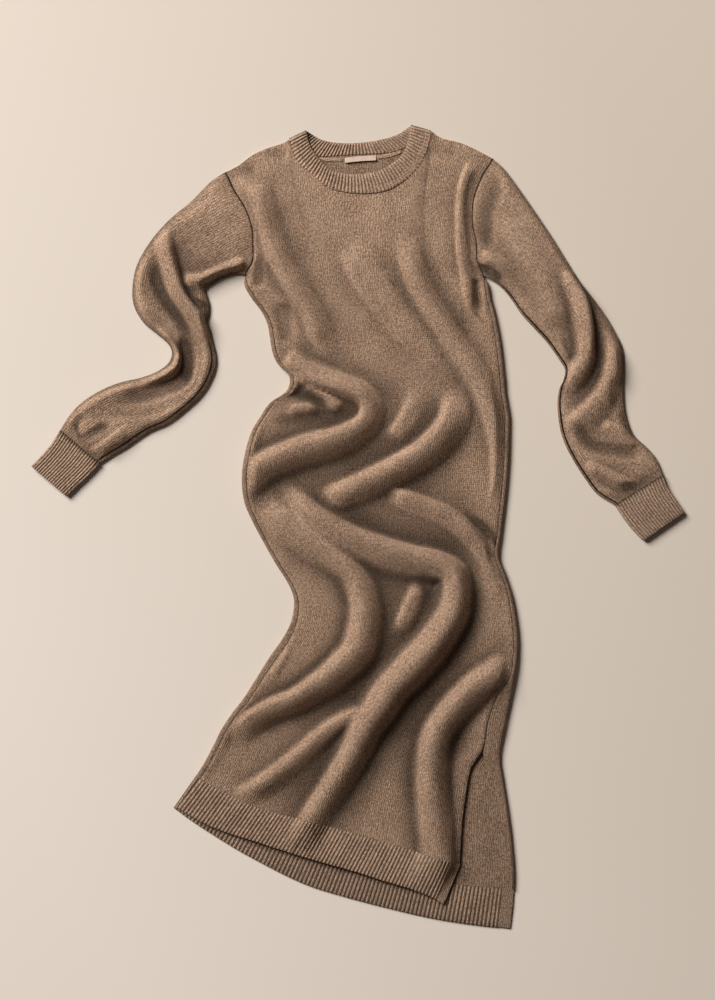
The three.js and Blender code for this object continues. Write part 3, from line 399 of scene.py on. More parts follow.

# Painted shade along tight creases where cloth meets cloth, darker than the light alone makes them.
BODY_CREASES = (
    dip("pocket top", ((-97, 219), (-80, 210), (-60, 205), (-38, 200)), (0.75, 0.6, 0.35, 0.2), 5, 4),
    dip("pocket foot", ((-66, 168), (-50, 171), (-32, 168), (-18, 163)), 0.35, 5, 5),
    dip("right lap", ((174, 12), (192, -4), (204, -20), (213, -36)), 0.8, 8, 5),
    dip("armpit line", ((194, 362), (192, 338), (195, 312)), 0.4, 3, 3),
    dip("armpit pleat", ((172, 326), (182, 313), (192, 303)), 0.4, 3, 3),
    dip("left armpit", ((-160, 358), (-152, 338), (-139, 318)), 0.35, 4, 4),
)
LEFT_SLEEVE_CREASES = (
    dip("elbow pit", ((-268, 290), (-258, 264), (-255, 236), (-259, 212)), (0.4, 0.7, 0.8, 0.5), 7, 8),
    dip("elbow lap", ((-281, 398), (-266, 358), (-250, 341), (-231, 333)), (0.3, 0.6, 0.8, 0.8), 5, 5,
        fade=(0.3, 0.0)),
    dip("underarm", ((-228, 346), (-218, 361), (-199, 371), (-184, 375), (-172, 372)), 0.5, 4, 4,
        fade=(0.1, 0.1)),
    dip("wrist", ((-424, 158), (-421, 146), (-416, 132)), 0.5, 4, 4),
)
RIGHT_SLEEVE_CREASES = (
    dip("underarm", ((182, 390), (197, 384), (209, 376), (216, 364)), 0.9, 7, 7, fade=(0.0, 0.3)),
    dip("inner elbow", ((303, 284), (312, 265), (317, 247)), 0.4, 5, 5),
    dip("elbow lap", ((334, 366), (344, 338), (352, 302), (353, 272), (342, 250)), 0.45, 3, 4),
    dip("wrist", ((392, 182), (399, 154), (418, 130)), 0.35, 5, 5),
)
# Sections: at, left outline, right outline, front's inset left and right, the back's lap
# on the right, and the height of each edge.
BODY_SECTIONS = (
    (0.0, -198, 532, 202, 552, 0, 0, 0, 6, 6),
    (0.028, -184, 502, 185, 524, 0, 0, 0, 8, 8),
    (0.052, -170, 480, 173, 492, 0, 0, 0, 9, 9),
    (0.08, -159, 450, 171, 457, 0, 0, 0, 9, 9),
    (0.108, -157, 420, 177, 425, 0, 0, 0, 9, 9),
    (0.13, -158, 397, 178, 400, 0, 0, 0, 9, 9),
    (0.148, -168, 379, 187, 378, 0, 0, 0, 6.5, 6.5),
    (0.163, -170, 362, 195, 364, 5, 5, 5, 9, 9),
    (0.18, -159, 342, 199, 343, 6, 6, 6, 9, 9),
    (0.196, -146, 325, 204, 325, 6, 6, 6, 9, 9),
    (0.214, -136, 305, 209, 303, 6, 7, 7, 9, 9),
    (0.233, -132, 283, 213, 280, 6, 7, 7, 9, 9),
    (0.252, -128, 261, 216, 258, 6, 7, 7, 9, 9),
    (0.268, -120, 244, 218, 238, 6, 7, 7, 12, 9),
    (0.282, -103, 226, 220, 220, 6, 7, 7, 15, 9),
    (0.296, -107, 204, 221, 204, 6, 7, 7, 12, 9),
    (0.31, -131, 187, 224, 186, 6, 7, 7, 9, 9),
    (0.326, -146, 166, 227, 166, 6, 7, 7, 9, 9),
    (0.345, -160, 142, 227, 143, 6, 7, 7, 12, 9),
    (0.378, -171, 102, 226, 103, 7, 7, 7, 18, 9),
    (0.408, -174, 68, 223, 62, 7, 7, 7, 18, 9),
    (0.435, -170, 36, 219, 26, 7, 7, 7, 13, 9),
    (0.46, -157, 6, 215, -8, 7, 6, 6, 10, 9),
    (0.488, -141, -24, 211, -44, 6, 6, 6, 9, 10),
    (0.51, -124, -54, 221, -72, 6, 6, 6, 9, 10),
    (0.532, -108, -79, 231, -104, 6, 6, 6, 9, 10),
    (0.552, -98, -100, 237, -136, 6, 7, 7, 9, 10),
    (0.57, -96, -118, 240, -165, 7, 7, 7, 9, 10),
    (0.595, -101, -144, 239, -196, 8, 7, 7, 9, 11),
    (0.625, -115, -170, 234, -228, 10, 8, 8, 9, 12),
    (0.655, -132, -194, 228, -260, 10, 22, 22, 9, 10),
    (0.69, -151, -224, 220, -294, 9, 26, 26, 10, 10),
    (0.725, -171, -256, 213, -330, 8, 26, 25, 12, 9),
    (0.755, -188, -278, 218, -360, 7, 48, 7, 13, 8),
    (0.79, -204, -302, 225, -395, 7, 62, 3, 13, 8),
    (0.83, -217, -328, 231, -432, 7, 73, 3, 12, 8),
    (0.875, -232, -356, 235, -474, 7, 80, 3, 11, 8),
    (0.905, -243, -373, 235, -500, 7, 81, 3, 10, 7),
)
LEFT_SHOULDER = ((-198, 532), (-180, 541), (-160, 556), (-140, 566), (-110, 576), (-103, 581))
RIGHT_SHOULDER = ((109, 593), (125, 583), (155, 575), (180, 564), (202, 552))
FRONT_NECK_SEAM = ((-103, 581), (-99, 562), (-88, 543), (-68, 527), (-45, 509), (-15, 501), (15, 500),
    (45, 505), (70, 520), (90, 540), (103, 566), (109, 593))
BACK_NECK_SEAM = ((-103, 581), (-85, 566), (-58, 556), (-30, 557), (0, 558.5), (30, 560), (55, 563),
    (70, 569), (90, 579), (109, 593))
FRONT_NECK_EDGE = ((-78, 593), (-73, 572), (-60, 552), (-40, 534), (-20, 528), (0, 527), (20, 529),
    (40, 537), (63, 553), (75, 575), (80, 601))
BACK_NECK_EDGE = ((-78, 593), (-55, 580), (-30, 575), (0, 575), (30, 579), (60, 588), (80, 601))
FRONT_HEM_TOP = ((-237, -377), (-195, -399), (-150, -420), (-80, -438), (-40, -448), (0, -460),
    (50, -474), (100, -489), (130, -498), (153, -505))
FRONT_HEM_END = ((-270, -420), (-230, -443), (-200, -455), (-150, -471), (-100, -487), (-60, -499),
    (0, -516), (40, -529), (80, -541), (110, -553), (128, -564))
BACK_HEM_TOP = ((-243, -373), (-200, -401), (-150, -430), (-80, -470), (0, -500), (80, -522),
    (160, -537), (234, -543))
BACK_HEM_END = ((-276, -420), (-250, -439), (-210, -465), (-170, -489), (-85, -532), (-20, -553),
    (65, -575), (120, -587), (180, -596), (228, -601))
LEFT_SLEEVE = (
    (0.0, -198, 532, -168, 379), (0.05, -220, 518, -182, 379), (0.11, -250, 488, -202, 373),
    (0.17, -280, 463, -218, 364), (0.22, -302, 440, -228, 356), (0.27, -321, 413, -226, 345),
    (0.32, -333, 388, -223, 334), (0.37, -338, 360, -223, 320), (0.42, -336, 332, -225, 308),
    (0.47, -322, 307, -221, 294), (0.52, -302, 290, -217, 276), (0.57, -286, 276, -213, 258),
    (0.61, -279, 262, -213, 242), (0.65, -284, 246, -219, 223), (0.69, -301, 233, -231, 202),
    (0.74, -325, 224, -250, 182), (0.8, -355, 217, -283, 156), (0.86, -385, 205, -315, 141),
    (0.91, -412, 188, -347, 119), (0.96, -431, 169, -369, 106), (1.0, -446, 146, -386, 95),
)
RIGHT_SLEEVE = (
    (0.0, 202, 552, 187, 378), (0.05, 220, 535, 204, 368), (0.11, 243, 504, 217, 357),
    (0.17, 268, 468, 230, 341), (0.23, 292, 432, 245, 319), (0.29, 313, 398, 263, 299),
    (0.35, 331, 370, 283, 277), (0.41, 352, 343, 300, 253), (0.47, 370, 318, 310, 236),
    (0.52, 385, 292, 308, 221), (0.57, 396, 268, 302, 207), (0.62, 399, 240, 299, 188),
    (0.67, 398, 210, 300, 166), (0.72, 399, 182, 304, 142), (0.77, 404, 158, 312, 120),
    (0.82, 413, 138, 325, 96), (0.88, 432, 120, 340, 73), (0.94, 447, 102, 357, 51),
    (1.0, 457, 79, 384, 34),
)
LEFT_CUFF = (
    (0.0, -446, 146, -386, 95), (0.3, -460, 124, -401, 79), (0.7, -477, 104, -420, 61),
    (1.0, -489, 92, -435, 46),
)
RIGHT_CUFF = (
    (0.0, 457, 79, 384, 34), (0.3, 464, 60, 397, 14), (0.7, 479, 37, 413, -6), (1.0, 489, 23, 427, -20),
)


# A sleeve's seam: how far in from its edge, and the share down at which it comes into view.
LEFT_SLEEVE_SEAM = (6.5, 0.46)
RIGHT_SLEEVE_SEAM = (4.0, 0.05)

# The front hem band's free edge: its height at the left, how much higher it ends, how far
# its middle bows up, and the share of the body's folds that reaches it away from its ends.
HEM_EDGE_HEIGHT = 6.4
HEM_EDGE_RISE = 2.0
HEM_EDGE_BOW = 3.6
HEM_EDGE_FOLDS = 0.55
HEM_EDGE_FADE = 1 / 6

# The linked seam in front of the neck, and the tape over the seam behind it.
NECK_ROLL_END = 0.0075
NECK_ROLL_SINK = 0.2
NECK_TAPE_HEIGHT = 2.05
NECK_TAPE_WIDE = 6.0
NECK_TAPE_RISE = 1.3
NECK_TAPE_STEPS = 40
NECK_TAPES = (
    ("left", ((-59, 551), (-44, 550.5), (-22, 550))),
    ("right", ((28.5, 553.5), (45, 556.5), (58, 560), (65, 563))),
)


# Meshes


def grid_normals(grid: Array, around: bool = False) -> Array:
    """Unit normals of a grid of points: the cross product of its two slopes."""
    if around:
        padded = np.concatenate([grid[:, -1:], grid, grid[:, :1]], axis=1)
        across = padded[:, 2:] - padded[:, :-2]
    else:
        across = np.gradient(grid, axis=1)
    down = np.gradient(grid, axis=0)
    normal = np.cross(down, across)
    return normal / np.maximum(np.linalg.norm(normal, axis=-1, keepdims=True), TINY)


def mean_around(z: Array, reach: int = 8) -> Array:
    """Mean of a grid over a square of cells around each point, taken twice."""
    for axis in (0, 1, 0, 1):
        pad = [(reach + 1, reach) if k == axis else (0, 0) for k in range(2)]
        sums = np.cumsum(np.pad(z, pad, mode="edge"), axis=axis)
        count = z.shape[axis]
        high = np.take(sums, np.arange(count) + 2 * reach + 1, axis=axis)
        low = np.take(sums, np.arange(count), axis=axis)
        z = (high - low) / (2 * reach + 1)
    return z


def lift_of(z: Array, full: float = 6.0) -> Array:
    """How far each point stands above or below the cloth around it, from -1 to 1."""
    return np.tanh((z - mean_around(z)) / full)


def creased(lift: Array, creases: tuple[Fold, ...], x: Array, y: Array) -> Array:
    """A lift lowered along tight creases as painted shade, each by as much as its depth, to a least value.
    """
    for crease in creases:
        lift = lift - crease.lie(x + SKEW * TO_LIGHT[0], y + SKEW * TO_LIGHT[1])[0]
    return np.maximum(lift, CREASE_LIFT)


@dataclass
class Wall:
    """A closed cloth wall between two grids of points, seen from outside."""

    name: str
    outer: Array
    inner: Array
    uv: Array
    around: bool = False
    lift: Array | None = None

    def faces(self) -> Array:
        """Corner numbers of its four-sided faces: both sides, then the strips that close them."""
        rows, cols = self.outer.shape[:2]
        spans = cols if self.around else cols - 1
        i, j = np.meshgrid(np.arange(rows - 1), np.arange(spans), indexing="ij")
        k = (j + 1) % cols
        a, b, c, d = i * cols + j, (i + 1) * cols + j, (i + 1) * cols + k, i * cols + k
        n = rows * cols
        sides = [np.stack([a, b, c, d], -1), np.stack([a, d, c, b], -1) + n]
        j, k = np.arange(spans), (np.arange(spans) + 1) % cols
        last = (rows - 1) * cols
        sides.append(np.stack([n + j, j, k, n + k], -1))
        sides.append(np.stack([last + j, n + last + j, n + last + k, last + k], -1))
        if not self.around:
            i = np.arange(rows - 1) * cols
            sides.append(np.stack([n + i, n + i + cols, i + cols, i], -1))
            e = i + cols - 1
            sides.append(np.stack([e, e + cols, n + e + cols, n + e], -1))
        return np.concatenate([s.reshape(-1, 4) for s in sides])

    def build(self) -> bpy.types.Object:
        """Make the mesh, smooth but for its cut edges, with cloth positions in metres as UV."""
        quads = self.faces().astype(np.int32)
        points = np.concatenate([self.outer.reshape(-1, 3), self.inner.reshape(-1, 3)]) * MM
        mesh = bpy.data.meshes.new(self.name)
        mesh.vertices.add(len(points))
        mesh.vertices.foreach_set("co", points.astype(np.float32).ravel())
        mesh.loops.add(quads.size)
        mesh.loops.foreach_set("vertex_index", quads.ravel())
        mesh.polygons.add(len(quads))
        mesh.polygons.foreach_set("loop_start", np.arange(0, quads.size, 4, dtype=np.int32))
        mesh.update(calc_edges=True)
        mesh.polygons.foreach_set("use_smooth", np.ones(len(quads), dtype=bool))
        flat = np.concatenate([self.uv.reshape(-1, 2)] * 2) * MM
        corners = flat[quads]
        if self.around:
            # the faces that close the tube run on past its last column
            girth = (np.ptp(self.uv[..., 0]) * MM) or 1.0
            jump = corners[..., 0] < corners[..., 0].max(axis=1, keepdims=True) - girth / 4
            corners[..., 0] += jump * girth * self.uv.shape[1] / (self.uv.shape[1] - 1)
        layer = mesh.uv_layers.new(name="cloth")
        layer.data.foreach_set("uv", corners.astype(np.float32).ravel())
        # the lift drives the finish's painted shade and painted highlight
        if self.lift is not None:
            values = np.concatenate([self.lift.ravel()] * 2).astype(np.float32)
            mesh.attributes.new("lift", "FLOAT", "POINT").data.foreach_set("value", values)
        mesh.validate()
        mesh.set_sharp_from_angle(angle=math.radians(SHARP))
        piece = bpy.data.objects.new(self.name, mesh)
        bpy.context.scene.collection.objects.link(piece)
        return piece


# The body


@dataclass
class BodyPlan:
    """The outline of the laid-out body, and where each point of its panels lies."""

    rows: int = 320
    armhole_rows: int = 46

    def stations(self) -> Array:
        """Positions of the rows down the body, shoulders to hem seam."""
        armhole = np.linspace(0.0, ARMHOLE_END, self.armhole_rows)
        side = np.linspace(UNDERARM_TURN, HEM_SEAM, self.rows - self.armhole_rows)
        return np.concatenate([armhole, side])

    def row(self, at: Array) -> dict[str, Array]:
        """A station's values by name, with its width and the direction across it."""
        table = np.asarray(BODY_SECTIONS, float)
        value = cubic(table[:, 0], table[:, 1:], at)
        names = ("lx", "ly", "rx", "ry", "left_in", "right_in", "over", "left_up", "right_up")
        row = {name: value[..., k] for k, name in enumerate(names)}
        row["at"] = np.asarray(at, float)
        row["wide"] = np.hypot(row["rx"] - row["lx"], row["ry"] - row["ly"])
        row["ux"] = (row["rx"] - row["lx"]) / row["wide"]
        row["uy"] = (row["ry"] - row["ly"]) / row["wide"]
        return row

    @staticmethod
    def in_from(row: dict[str, Array], far: Array | float) -> Array:
        """Place a distance in from the left outline."""
        return np.stack([row["lx"] + row["ux"] * far, row["ly"] + row["uy"] * far], -1)

    def straightened(self, share: Array, row: dict[str, Array]) -> Array:
        """Share across, shifted so that the columns beside the neck run straight down."""
        top = self.row(np.zeros(()))
        keep = 1.0 - ease(row["at"] / ARMHOLE_END)

        def held(stop: float) -> Array:
            """Share at which a column of the top edge's share lies, if it runs straight down."""
            fixed = (top["lx"] + top["ux"] * top["wide"] * stop - row["lx"]) / (row["rx"] - row["lx"])
            return stop + (fixed - stop) * keep

        a, b = held(NECK_START), held(NECK_STOP)
        first = a * share / NECK_START
        middle = a + (b - a) * (share - NECK_START) / (NECK_STOP - NECK_START)
        last = b + (1.0 - b) * (share - NECK_STOP) / (1.0 - NECK_STOP)
        return np.where(share < NECK_START, first, np.where(share < NECK_STOP, middle, last))

    @staticmethod
    def top_edge(share: Array, neck: tuple) -> Array:
        """Top edge of a panel: shoulder, neck seam, shoulder."""
        left = along(LEFT_SHOULDER, np.clip(share / NECK_START, 0, 1))
        right = along(RIGHT_SHOULDER, np.clip((share - NECK_STOP) / (1 - NECK_STOP), 0, 1))
        middle = along(neck, np.clip((share - NECK_START) / (NECK_STOP - NECK_START), 0, 1))
        pick = share[..., None]
        return np.where(pick < NECK_START, left, np.where(pick > NECK_STOP, right, middle))

    def place(self, row: dict[str, Array], far: Array, share: Array, neck: tuple,
              hem_bow: Array) -> Array:
        """Place in plan on a panel: a straight section, bent to the neck above and the hem below."""
        flat = self.in_from(row, far)
        top = self.row(np.zeros(()))
        ends = self.in_from(top, 0.0), self.in_from(top, top["wide"])
        bow = self.top_edge(share, neck) - ends[0] - (ends[1] - ends[0]) * share[..., None]
        fade_top = 1.0 - ease(row["at"] / NECK_FADE)
        fade_hem = ease((row["at"] - HEM_FADE_FROM) / (HEM_SEAM - HEM_FADE_FROM))
        return flat + bow * fade_top[..., None] + hem_bow * fade_hem[..., None]

    def front_place(self, row: dict[str, Array], far: Array, share: Array) -> Array:
        """Place in plan on the front."""
        hem = self.row(np.full((), HEM_SEAM))
        a, b = self.in_from(hem, hem["left_in"]), self.in_from(hem, hem["wide"] - hem["right_in"])
        bow = along(FRONT_HEM_TOP, share) - a - (b - a) * share[..., None]
        return self.place(row, far, share, FRONT_NECK_SEAM, bow)

    def back_place(self, row: dict[str, Array], far: Array) -> Array:
        """Place in plan on the back."""
        inside = row["wide"] - row["left_in"] - row["right_in"]
        sewn = np.clip((far - row["left_in"]) / inside, 0, 1)
        whole = np.clip(far / row["wide"], 0, 1)
        hem = self.row(np.full((), HEM_SEAM))
        a, b = self.in_from(hem, 0.0), self.in_from(hem, hem["wide"])
        bow = along(BACK_HEM_TOP, whole) - a - (b - a) * whole[..., None]
        return self.place(row, far, sewn, BACK_NECK_SEAM, bow)


PLAN = BodyPlan()
BODY_RELIEF = Relief(BODY_FOLDS, BODY_LOFT, BODY_LOW)


def body_top(x: Array, y: Array, from_left: Array, from_right: Array,
             row: dict[str, Array]) -> tuple[Array, Array, Array]:
    """Height and shift of the upper layer, settled to its edge heights near the sides."""
    height, sx, sy = BODY_RELIEF.lie(x, y)
    left, right = ease(from_left / SETTLE), ease(from_right / SETTLE)
    height = row["left_up"] + (height - row["left_up"]) * left
    height = row["right_up"] + (height - row["right_up"]) * right
    return height, sx * left * right, sy * left * right


@dataclass
class FrontPanel:
    """The front of the body, from shoulders and neck seam to the hem seam."""

    columns: int = 150
    crowding: float = 0.088
    wale_width: float = 440.0
    length: float = 1180.0
    shoulder_loft: float = 4.5
    shoulder_fade: float = 0.035
    neck_from: float = 0.015
    neck_fade: float = 0.05
    held: float = 0.03
    top: Array | None = field(default=None, repr=False)

    def shares(self) -> Array:
        """Shares across, closer together beside the side seams."""
        t = np.linspace(0.0, 1.0, self.columns)
        return t - self.crowding * np.sin(2 * np.pi * t)

    def surface(self) -> tuple[Array, Array]:
        """The visible face: plan place, fold height, lean, and a sunken line at each seam.

        Returns:
            The grid of points, and their heights before the seams draw them down.
        """
        share, at = np.meshgrid(self.shares(), PLAN.stations())
        row = PLAN.row(at)
        start = row["left_in"] + SEAM / 2
        inside = row["wide"] - row["right_in"] - SEAM / 2 - start
        far = PLAN.straightened(share, row) * inside
        place = PLAN.front_place(row, start + far, share)
        x, y = place[..., 0], place[..., 1]
        free, sx, sy = body_top(x, y, far, inside - far, row)
        near = np.minimum(far, inside - far)
        height = free - SEAM_SINK * (1.0 - ease(near / SEAM_REACH))
        beside = np.maximum(NECK_START - share, share - NECK_STOP) + self.neck_from
        shoulder = ease(beside / self.neck_fade) * (1.0 - ease(at / self.shoulder_fade))
        height = height + (self.shoulder_loft - height) * shoulder
        hold = ease(at / self.held) * ease((HEM_SEAM - at) / self.held)
        return np.stack([x + sx * hold, y + sy * hold, height], -1), free

    def build(self) -> bpy.types.Object:
        """Make the piece."""
        self.top, free = self.surface()
        outer = self.top
        normal = grid_normals(outer)
        normal = np.where(normal[..., 2:] < 0, -normal, normal)
        normal[[0, -1]] = UP
        normal[:, [0, -1]] = UP
        share, at = np.meshgrid(self.shares(), PLAN.stations())
        uv = np.stack([share * self.wale_width, at * self.length], -1)
        # Painted shade: the lift is low in the front's hollows and lower along its creases; its side seams
        # are darkened
        lift = creased(lift_of(free), BODY_CREASES, outer[..., 0], outer[..., 1])
        lift[:, [0, -1]] = SEAM_LIFT
        return Wall("front_cloth", outer, outer - normal * WALL, uv, lift=lift).build()


@dataclass
class BackPanel:
    """The back of the body: flat underneath, its sides rolled up and over to the seams."""

    wrap: int = 14
    under: int = 44
    under_from: float = 0.03
    lap_from: float = 0.75
    seam_from: float = 2.0
    # painted shade over the whole back, as a low lift
    shade: float = 0.3
    girth: float = 484.0
    length: float = 1180.0

    def rolled(self, row: dict[str, Array], over: Array, up: Array,
               top_at: Callable[[Array], Array]) -> tuple[Array, Array, Array]:
        """One rolled edge: a quarter circle up from the table and another down to the seam.

        Args:
            row: Values of the stations.
            over: How far in the seam lies.
            up: Height of the edge.
            top_at: Height of the upper layer at a distance in.

        Returns:
            Distances in, heights, and the two-part direction through the wall.
        """
        at = row["at"][:, 0]
        turned = np.where(at <= UNDERARM_TURN + TINY, EdgeKind.TURNED, EdgeKind.LAPPED)
        kinds = np.where(at <= ARMHOLE_END, EdgeKind.SEWN, turned)
        lapped = kinds == EdgeKind.LAPPED
        sewn = kinds == EdgeKind.SEWN
        share = 1.0 - np.arange(self.wrap + 1) / self.wrap
        upright = np.pi / 2
        reach = np.where(lapped, upright + np.arccos(1 - np.minimum(over, EDGE) / EDGE), upright)
        angle = reach[:, None] * share[None, :]
        first = angle <= upright
        far = np.where(first, EDGE * (1 - np.sin(angle)), EDGE * (1 - np.cos(angle - upright)))
        long_lap = lapped[:, None] & (share[None, :] > self.lap_from)
        stretch = (share[None, :] - self.lap_from) / (1.0 - self.lap_from)
        column = int(self.wrap * (1.0 - self.lap_from))
        begin = np.where(angle > upright, far, 0)[:, column][:, None]
        far = np.where(long_lap, begin + (np.maximum(over[:, None], begin) - begin) * stretch, far)
        far[lapped, 0] = over[lapped]
        middle = (up / 2)[:, None]
        turn = rounding(far)
        high = np.where(first, middle * (1 - turn), middle + (top_at(far) - middle) * turn)
        through = np.stack([np.sin(angle), np.cos(angle)], -1)
        far[sewn] = EDGE * (1 - share) + SEAM / 2
        high[sewn] = 0.0
        through[sewn] = (0.0, 1.0)
        through[lapped, 0] = (0.0, -1.0)
        return far, high, through

    def build(self) -> bpy.types.Object:
        """Make the piece."""
        at = PLAN.stations()
        row = {k: v[:, None] for k, v in PLAN.row(at).items()}

        def top_at(far: Array, mirrored: bool) -> Array:
            """Height of the upper layer at a distance in, sunk towards its seam."""
            real = row["wide"] - far if mirrored else far
            place = PLAN.back_place(row, real)
            from_left = np.maximum(real - row["left_in"], 0.0)
            from_right = np.maximum(row["wide"] - real - row["right_in"], 0.0)
            height, _, _ = body_top(place[..., 0], place[..., 1], from_left, from_right, row)
            near = np.minimum(real, row["wide"] - real)
            return height - SEAM_SINK * ease((near - self.seam_from) / SEAM_REACH)

        over_left = (row["left_in"] - SEAM / 2)[:, 0]
        over_right = (np.minimum(row["over"], row["right_in"]) - SEAM / 2)[:, 0]
        left = self.rolled(row, over_left, row["left_up"][:, 0], lambda far: top_at(far, False))
        right = self.rolled(row, over_right, row["right_up"][:, 0], lambda far: top_at(far, True))
        shares = np.linspace(0, 1, self.under + 2)[1:-1][None, :]
        shares = np.clip(shares, self.under_from, 1.0 - self.under_from)
        under = PLAN.straightened(np.broadcast_to(shares, (len(at), self.under)), row) * row["wide"]
        far = np.concatenate([left[0], under, (row["wide"] - right[0])[:, ::-1]], 1)
        high = np.concatenate([left[1], np.zeros(under.shape), right[1][:, ::-1]], 1)
        across = np.concatenate([left[2][..., 0], np.zeros(under.shape), -right[2][:, ::-1, 0]], 1)
        rise = np.concatenate([left[2][..., 1], np.ones(under.shape), right[2][:, ::-1, 1]], 1)
        outer = np.concatenate([PLAN.back_place(row, far), high[..., None]], -1)
        through = np.stack([row["ux"] * across, row["uy"] * across, rise], -1)
        steps = sum(np.abs(np.diff(part, axis=1, prepend=part[:, :1])) for part in (far, high))
        length = np.cumsum(steps, axis=1)
        down = np.broadcast_to(at[:, None] * self.length, far.shape)
        uv = np.stack([length / length[:, -1:] * self.girth, down], -1)
        # Painted shade: the back, lying under the front, gets one low lift all over
        lift = np.full(far.shape, -self.shade)
        grids = (grid[:, ::-1] for grid in (outer, outer + through * WALL, uv))
        return Wall("back_cloth", *grids, lift=lift).build()


# Tubes


@dataclass
class FlatTube:
    """A tube that lies flat: a sleeve or a cuff.

    Each section is a rounded slot: both edges turn over on quarter ellipses, with the
    upper layer lifted by the folds and the lower one on the table.
    """

    name: str
    table: tuple
    mirrored: bool
    steps: int
    above: int
    below: int
    edge: float
    middle: float
    thick: float
    rib_rise: float = 0.0
    seam_in: float = 0.0
    seam_from: float = 0.0
    seam_fade: float = 0.1
    seam_half: float = 1.5
    seam_dark: float = 1.5
    # how much the lift is lowered over the whole upper layer, darkening it
    shade: float = 0.2
    creases: tuple[Fold, ...] = ()

    def shares(self) -> tuple[Array, Array]:
        """Shares across of the columns above, left to right, and below, right to left."""
        even = np.linspace(0, 1, self.above)
        upper = 0.5 * even + 0.25 - 0.25 * np.cos(np.pi * even)
        return upper, np.linspace(1, 0, self.below + 2)[1:-1]

    def sections(self) -> tuple[Array, Array, Array]:
        """Stations, both ends of each section, and its width."""
        at = np.linspace(0, 1, self.steps + 1)
        table = np.asarray(self.table, float)
        ends = cubic(table[:, 0], table[:, 1:], at).reshape(-1, 2, 2)
        return at, ends, np.hypot(*(ends[:, 1] - ends[:, 0]).T)

    def bow(self, share: Array, at: Array) -> Array:
        """How far each point lies off its straight section, in plan."""
        return np.zeros(share.shape + (2,))

    def top(self, place: Array, near: Array, at: Array) -> tuple[Array, Array, Array]:
        """Height and shift of the upper layer before its edges turn over."""
        return np.full(near.shape, 2 * self.middle), np.zeros(near.shape), np.zeros(near.shape)

    def wave(self, share: Array) -> Array:
        """Ribs across the outer face, 0 between them and 1 on top."""
        return np.zeros(share.shape)

    def meet(self, z: Array, share: Array, is_top: Array, at: Array) -> Array:
        """Heights changed where the tube joins another piece."""
        return z

    def finish_end(self, outer: Array, inner: Array) -> tuple[Array, Array]:
        """Leave the ends cut straight."""
        return outer, inner

    def build(self) -> bpy.types.Object:
        """Make the piece."""
        at, ends, wide = self.sections()
        upper, lower = self.shares()
        shape = (len(at), self.above + self.below)
        share = np.broadcast_to(np.concatenate([upper, lower]), shape)
        is_top = np.broadcast_to(np.arange(shape[1]) < self.above, shape)
        station = np.broadcast_to(at[:, None], shape)
        near = np.minimum(share, 1 - share) * wide[:, None]
        place = ends[:, None, 0] + (ends[:, 1] - ends[:, 0])[:, None] * share[..., None]
        place = place + self.bow(share, station)
        turn = rounding(near, self.edge)
        level = np.where(share < 0.5, 1, -1) * (1 - np.clip(near / self.edge, 0, 1))
        high, sx, sy = self.top(place, near, station)
        z = np.where(is_top, self.middle + (high - self.middle) * turn, self.middle * (1 - turn))
        z = self.meet(z, share, is_top, station)
        across = (ends[:, 1] - ends[:, 0]) / wide[:, None]
        upright = np.where(is_top, -turn, turn)
        through = np.stack([across[:, None, 0] * level, across[:, None, 1] * level, upright], -1)
        through /= np.maximum(np.linalg.norm(through, axis=-1, keepdims=True), TINY)
        core = np.stack([place[..., 0] + sx * is_top, place[..., 1] + sy * is_top, z], -1)
        wave = self.wave(share) * is_top
        outer = core - through * (wave * self.rib_rise * turn)[..., None]
        normal = grid_normals(core, around=True)
        normal = np.where((normal * through).sum(-1, keepdims=True) > 0, normal, -normal)
        blend = np.where((is_top & (near > self.edge))[..., None], normal, through)
        blend[[0, -1]] = through[[0, -1]]
        outer, inner = self.finish_end(outer, core + blend * self.thick)
        rows = np.linspace(0, 1, outer.shape[0])
        round_it = (np.concatenate([upper, 2 - lower]) - 0.5) * np.interp(rows, at, wide)[:, None]
        down = rows[:, None] * run_of(ends.mean(axis=1))[-1]
        uv = np.stack([round_it, np.broadcast_to(down, outer.shape[:2])], -1)
        # The upper layer's lift: painted shade in hollows and along creases, lowered by shade all over, and
        # a dark seam line
        lift = np.zeros(outer.shape[:2])
        seen = place[:, : self.above]
        tone = lift_of(z[:, : self.above]) - self.shade
        lift[: len(at), : self.above] = creased(tone, self.creases, seen[..., 0], seen[..., 1])
        if self.seam_in:
            gap = np.abs((1 - share) * wide[:, None] - self.seam_in)
            line = np.clip(1.0 - gap / self.seam_half, 0.0, 1.0) * is_top
            lift[: len(at)] -= self.seam_dark * line * ease((station - self.seam_from) / self.seam_fade)
        # A cuff's lift follows its ribs instead: painted shade between them, painted highlight on their tops
        if self.rib_rise:
            lift[:] = (2 * wave - 1)[0]
        lift[0, : self.above] = SEAM_LIFT
        flip = slice(None, None, -1 if self.mirrored else 1)
        grids = (grid[:, flip] for grid in (outer, inner, uv))
        return Wall(self.name, *grids, True, lift[:, flip]).build()


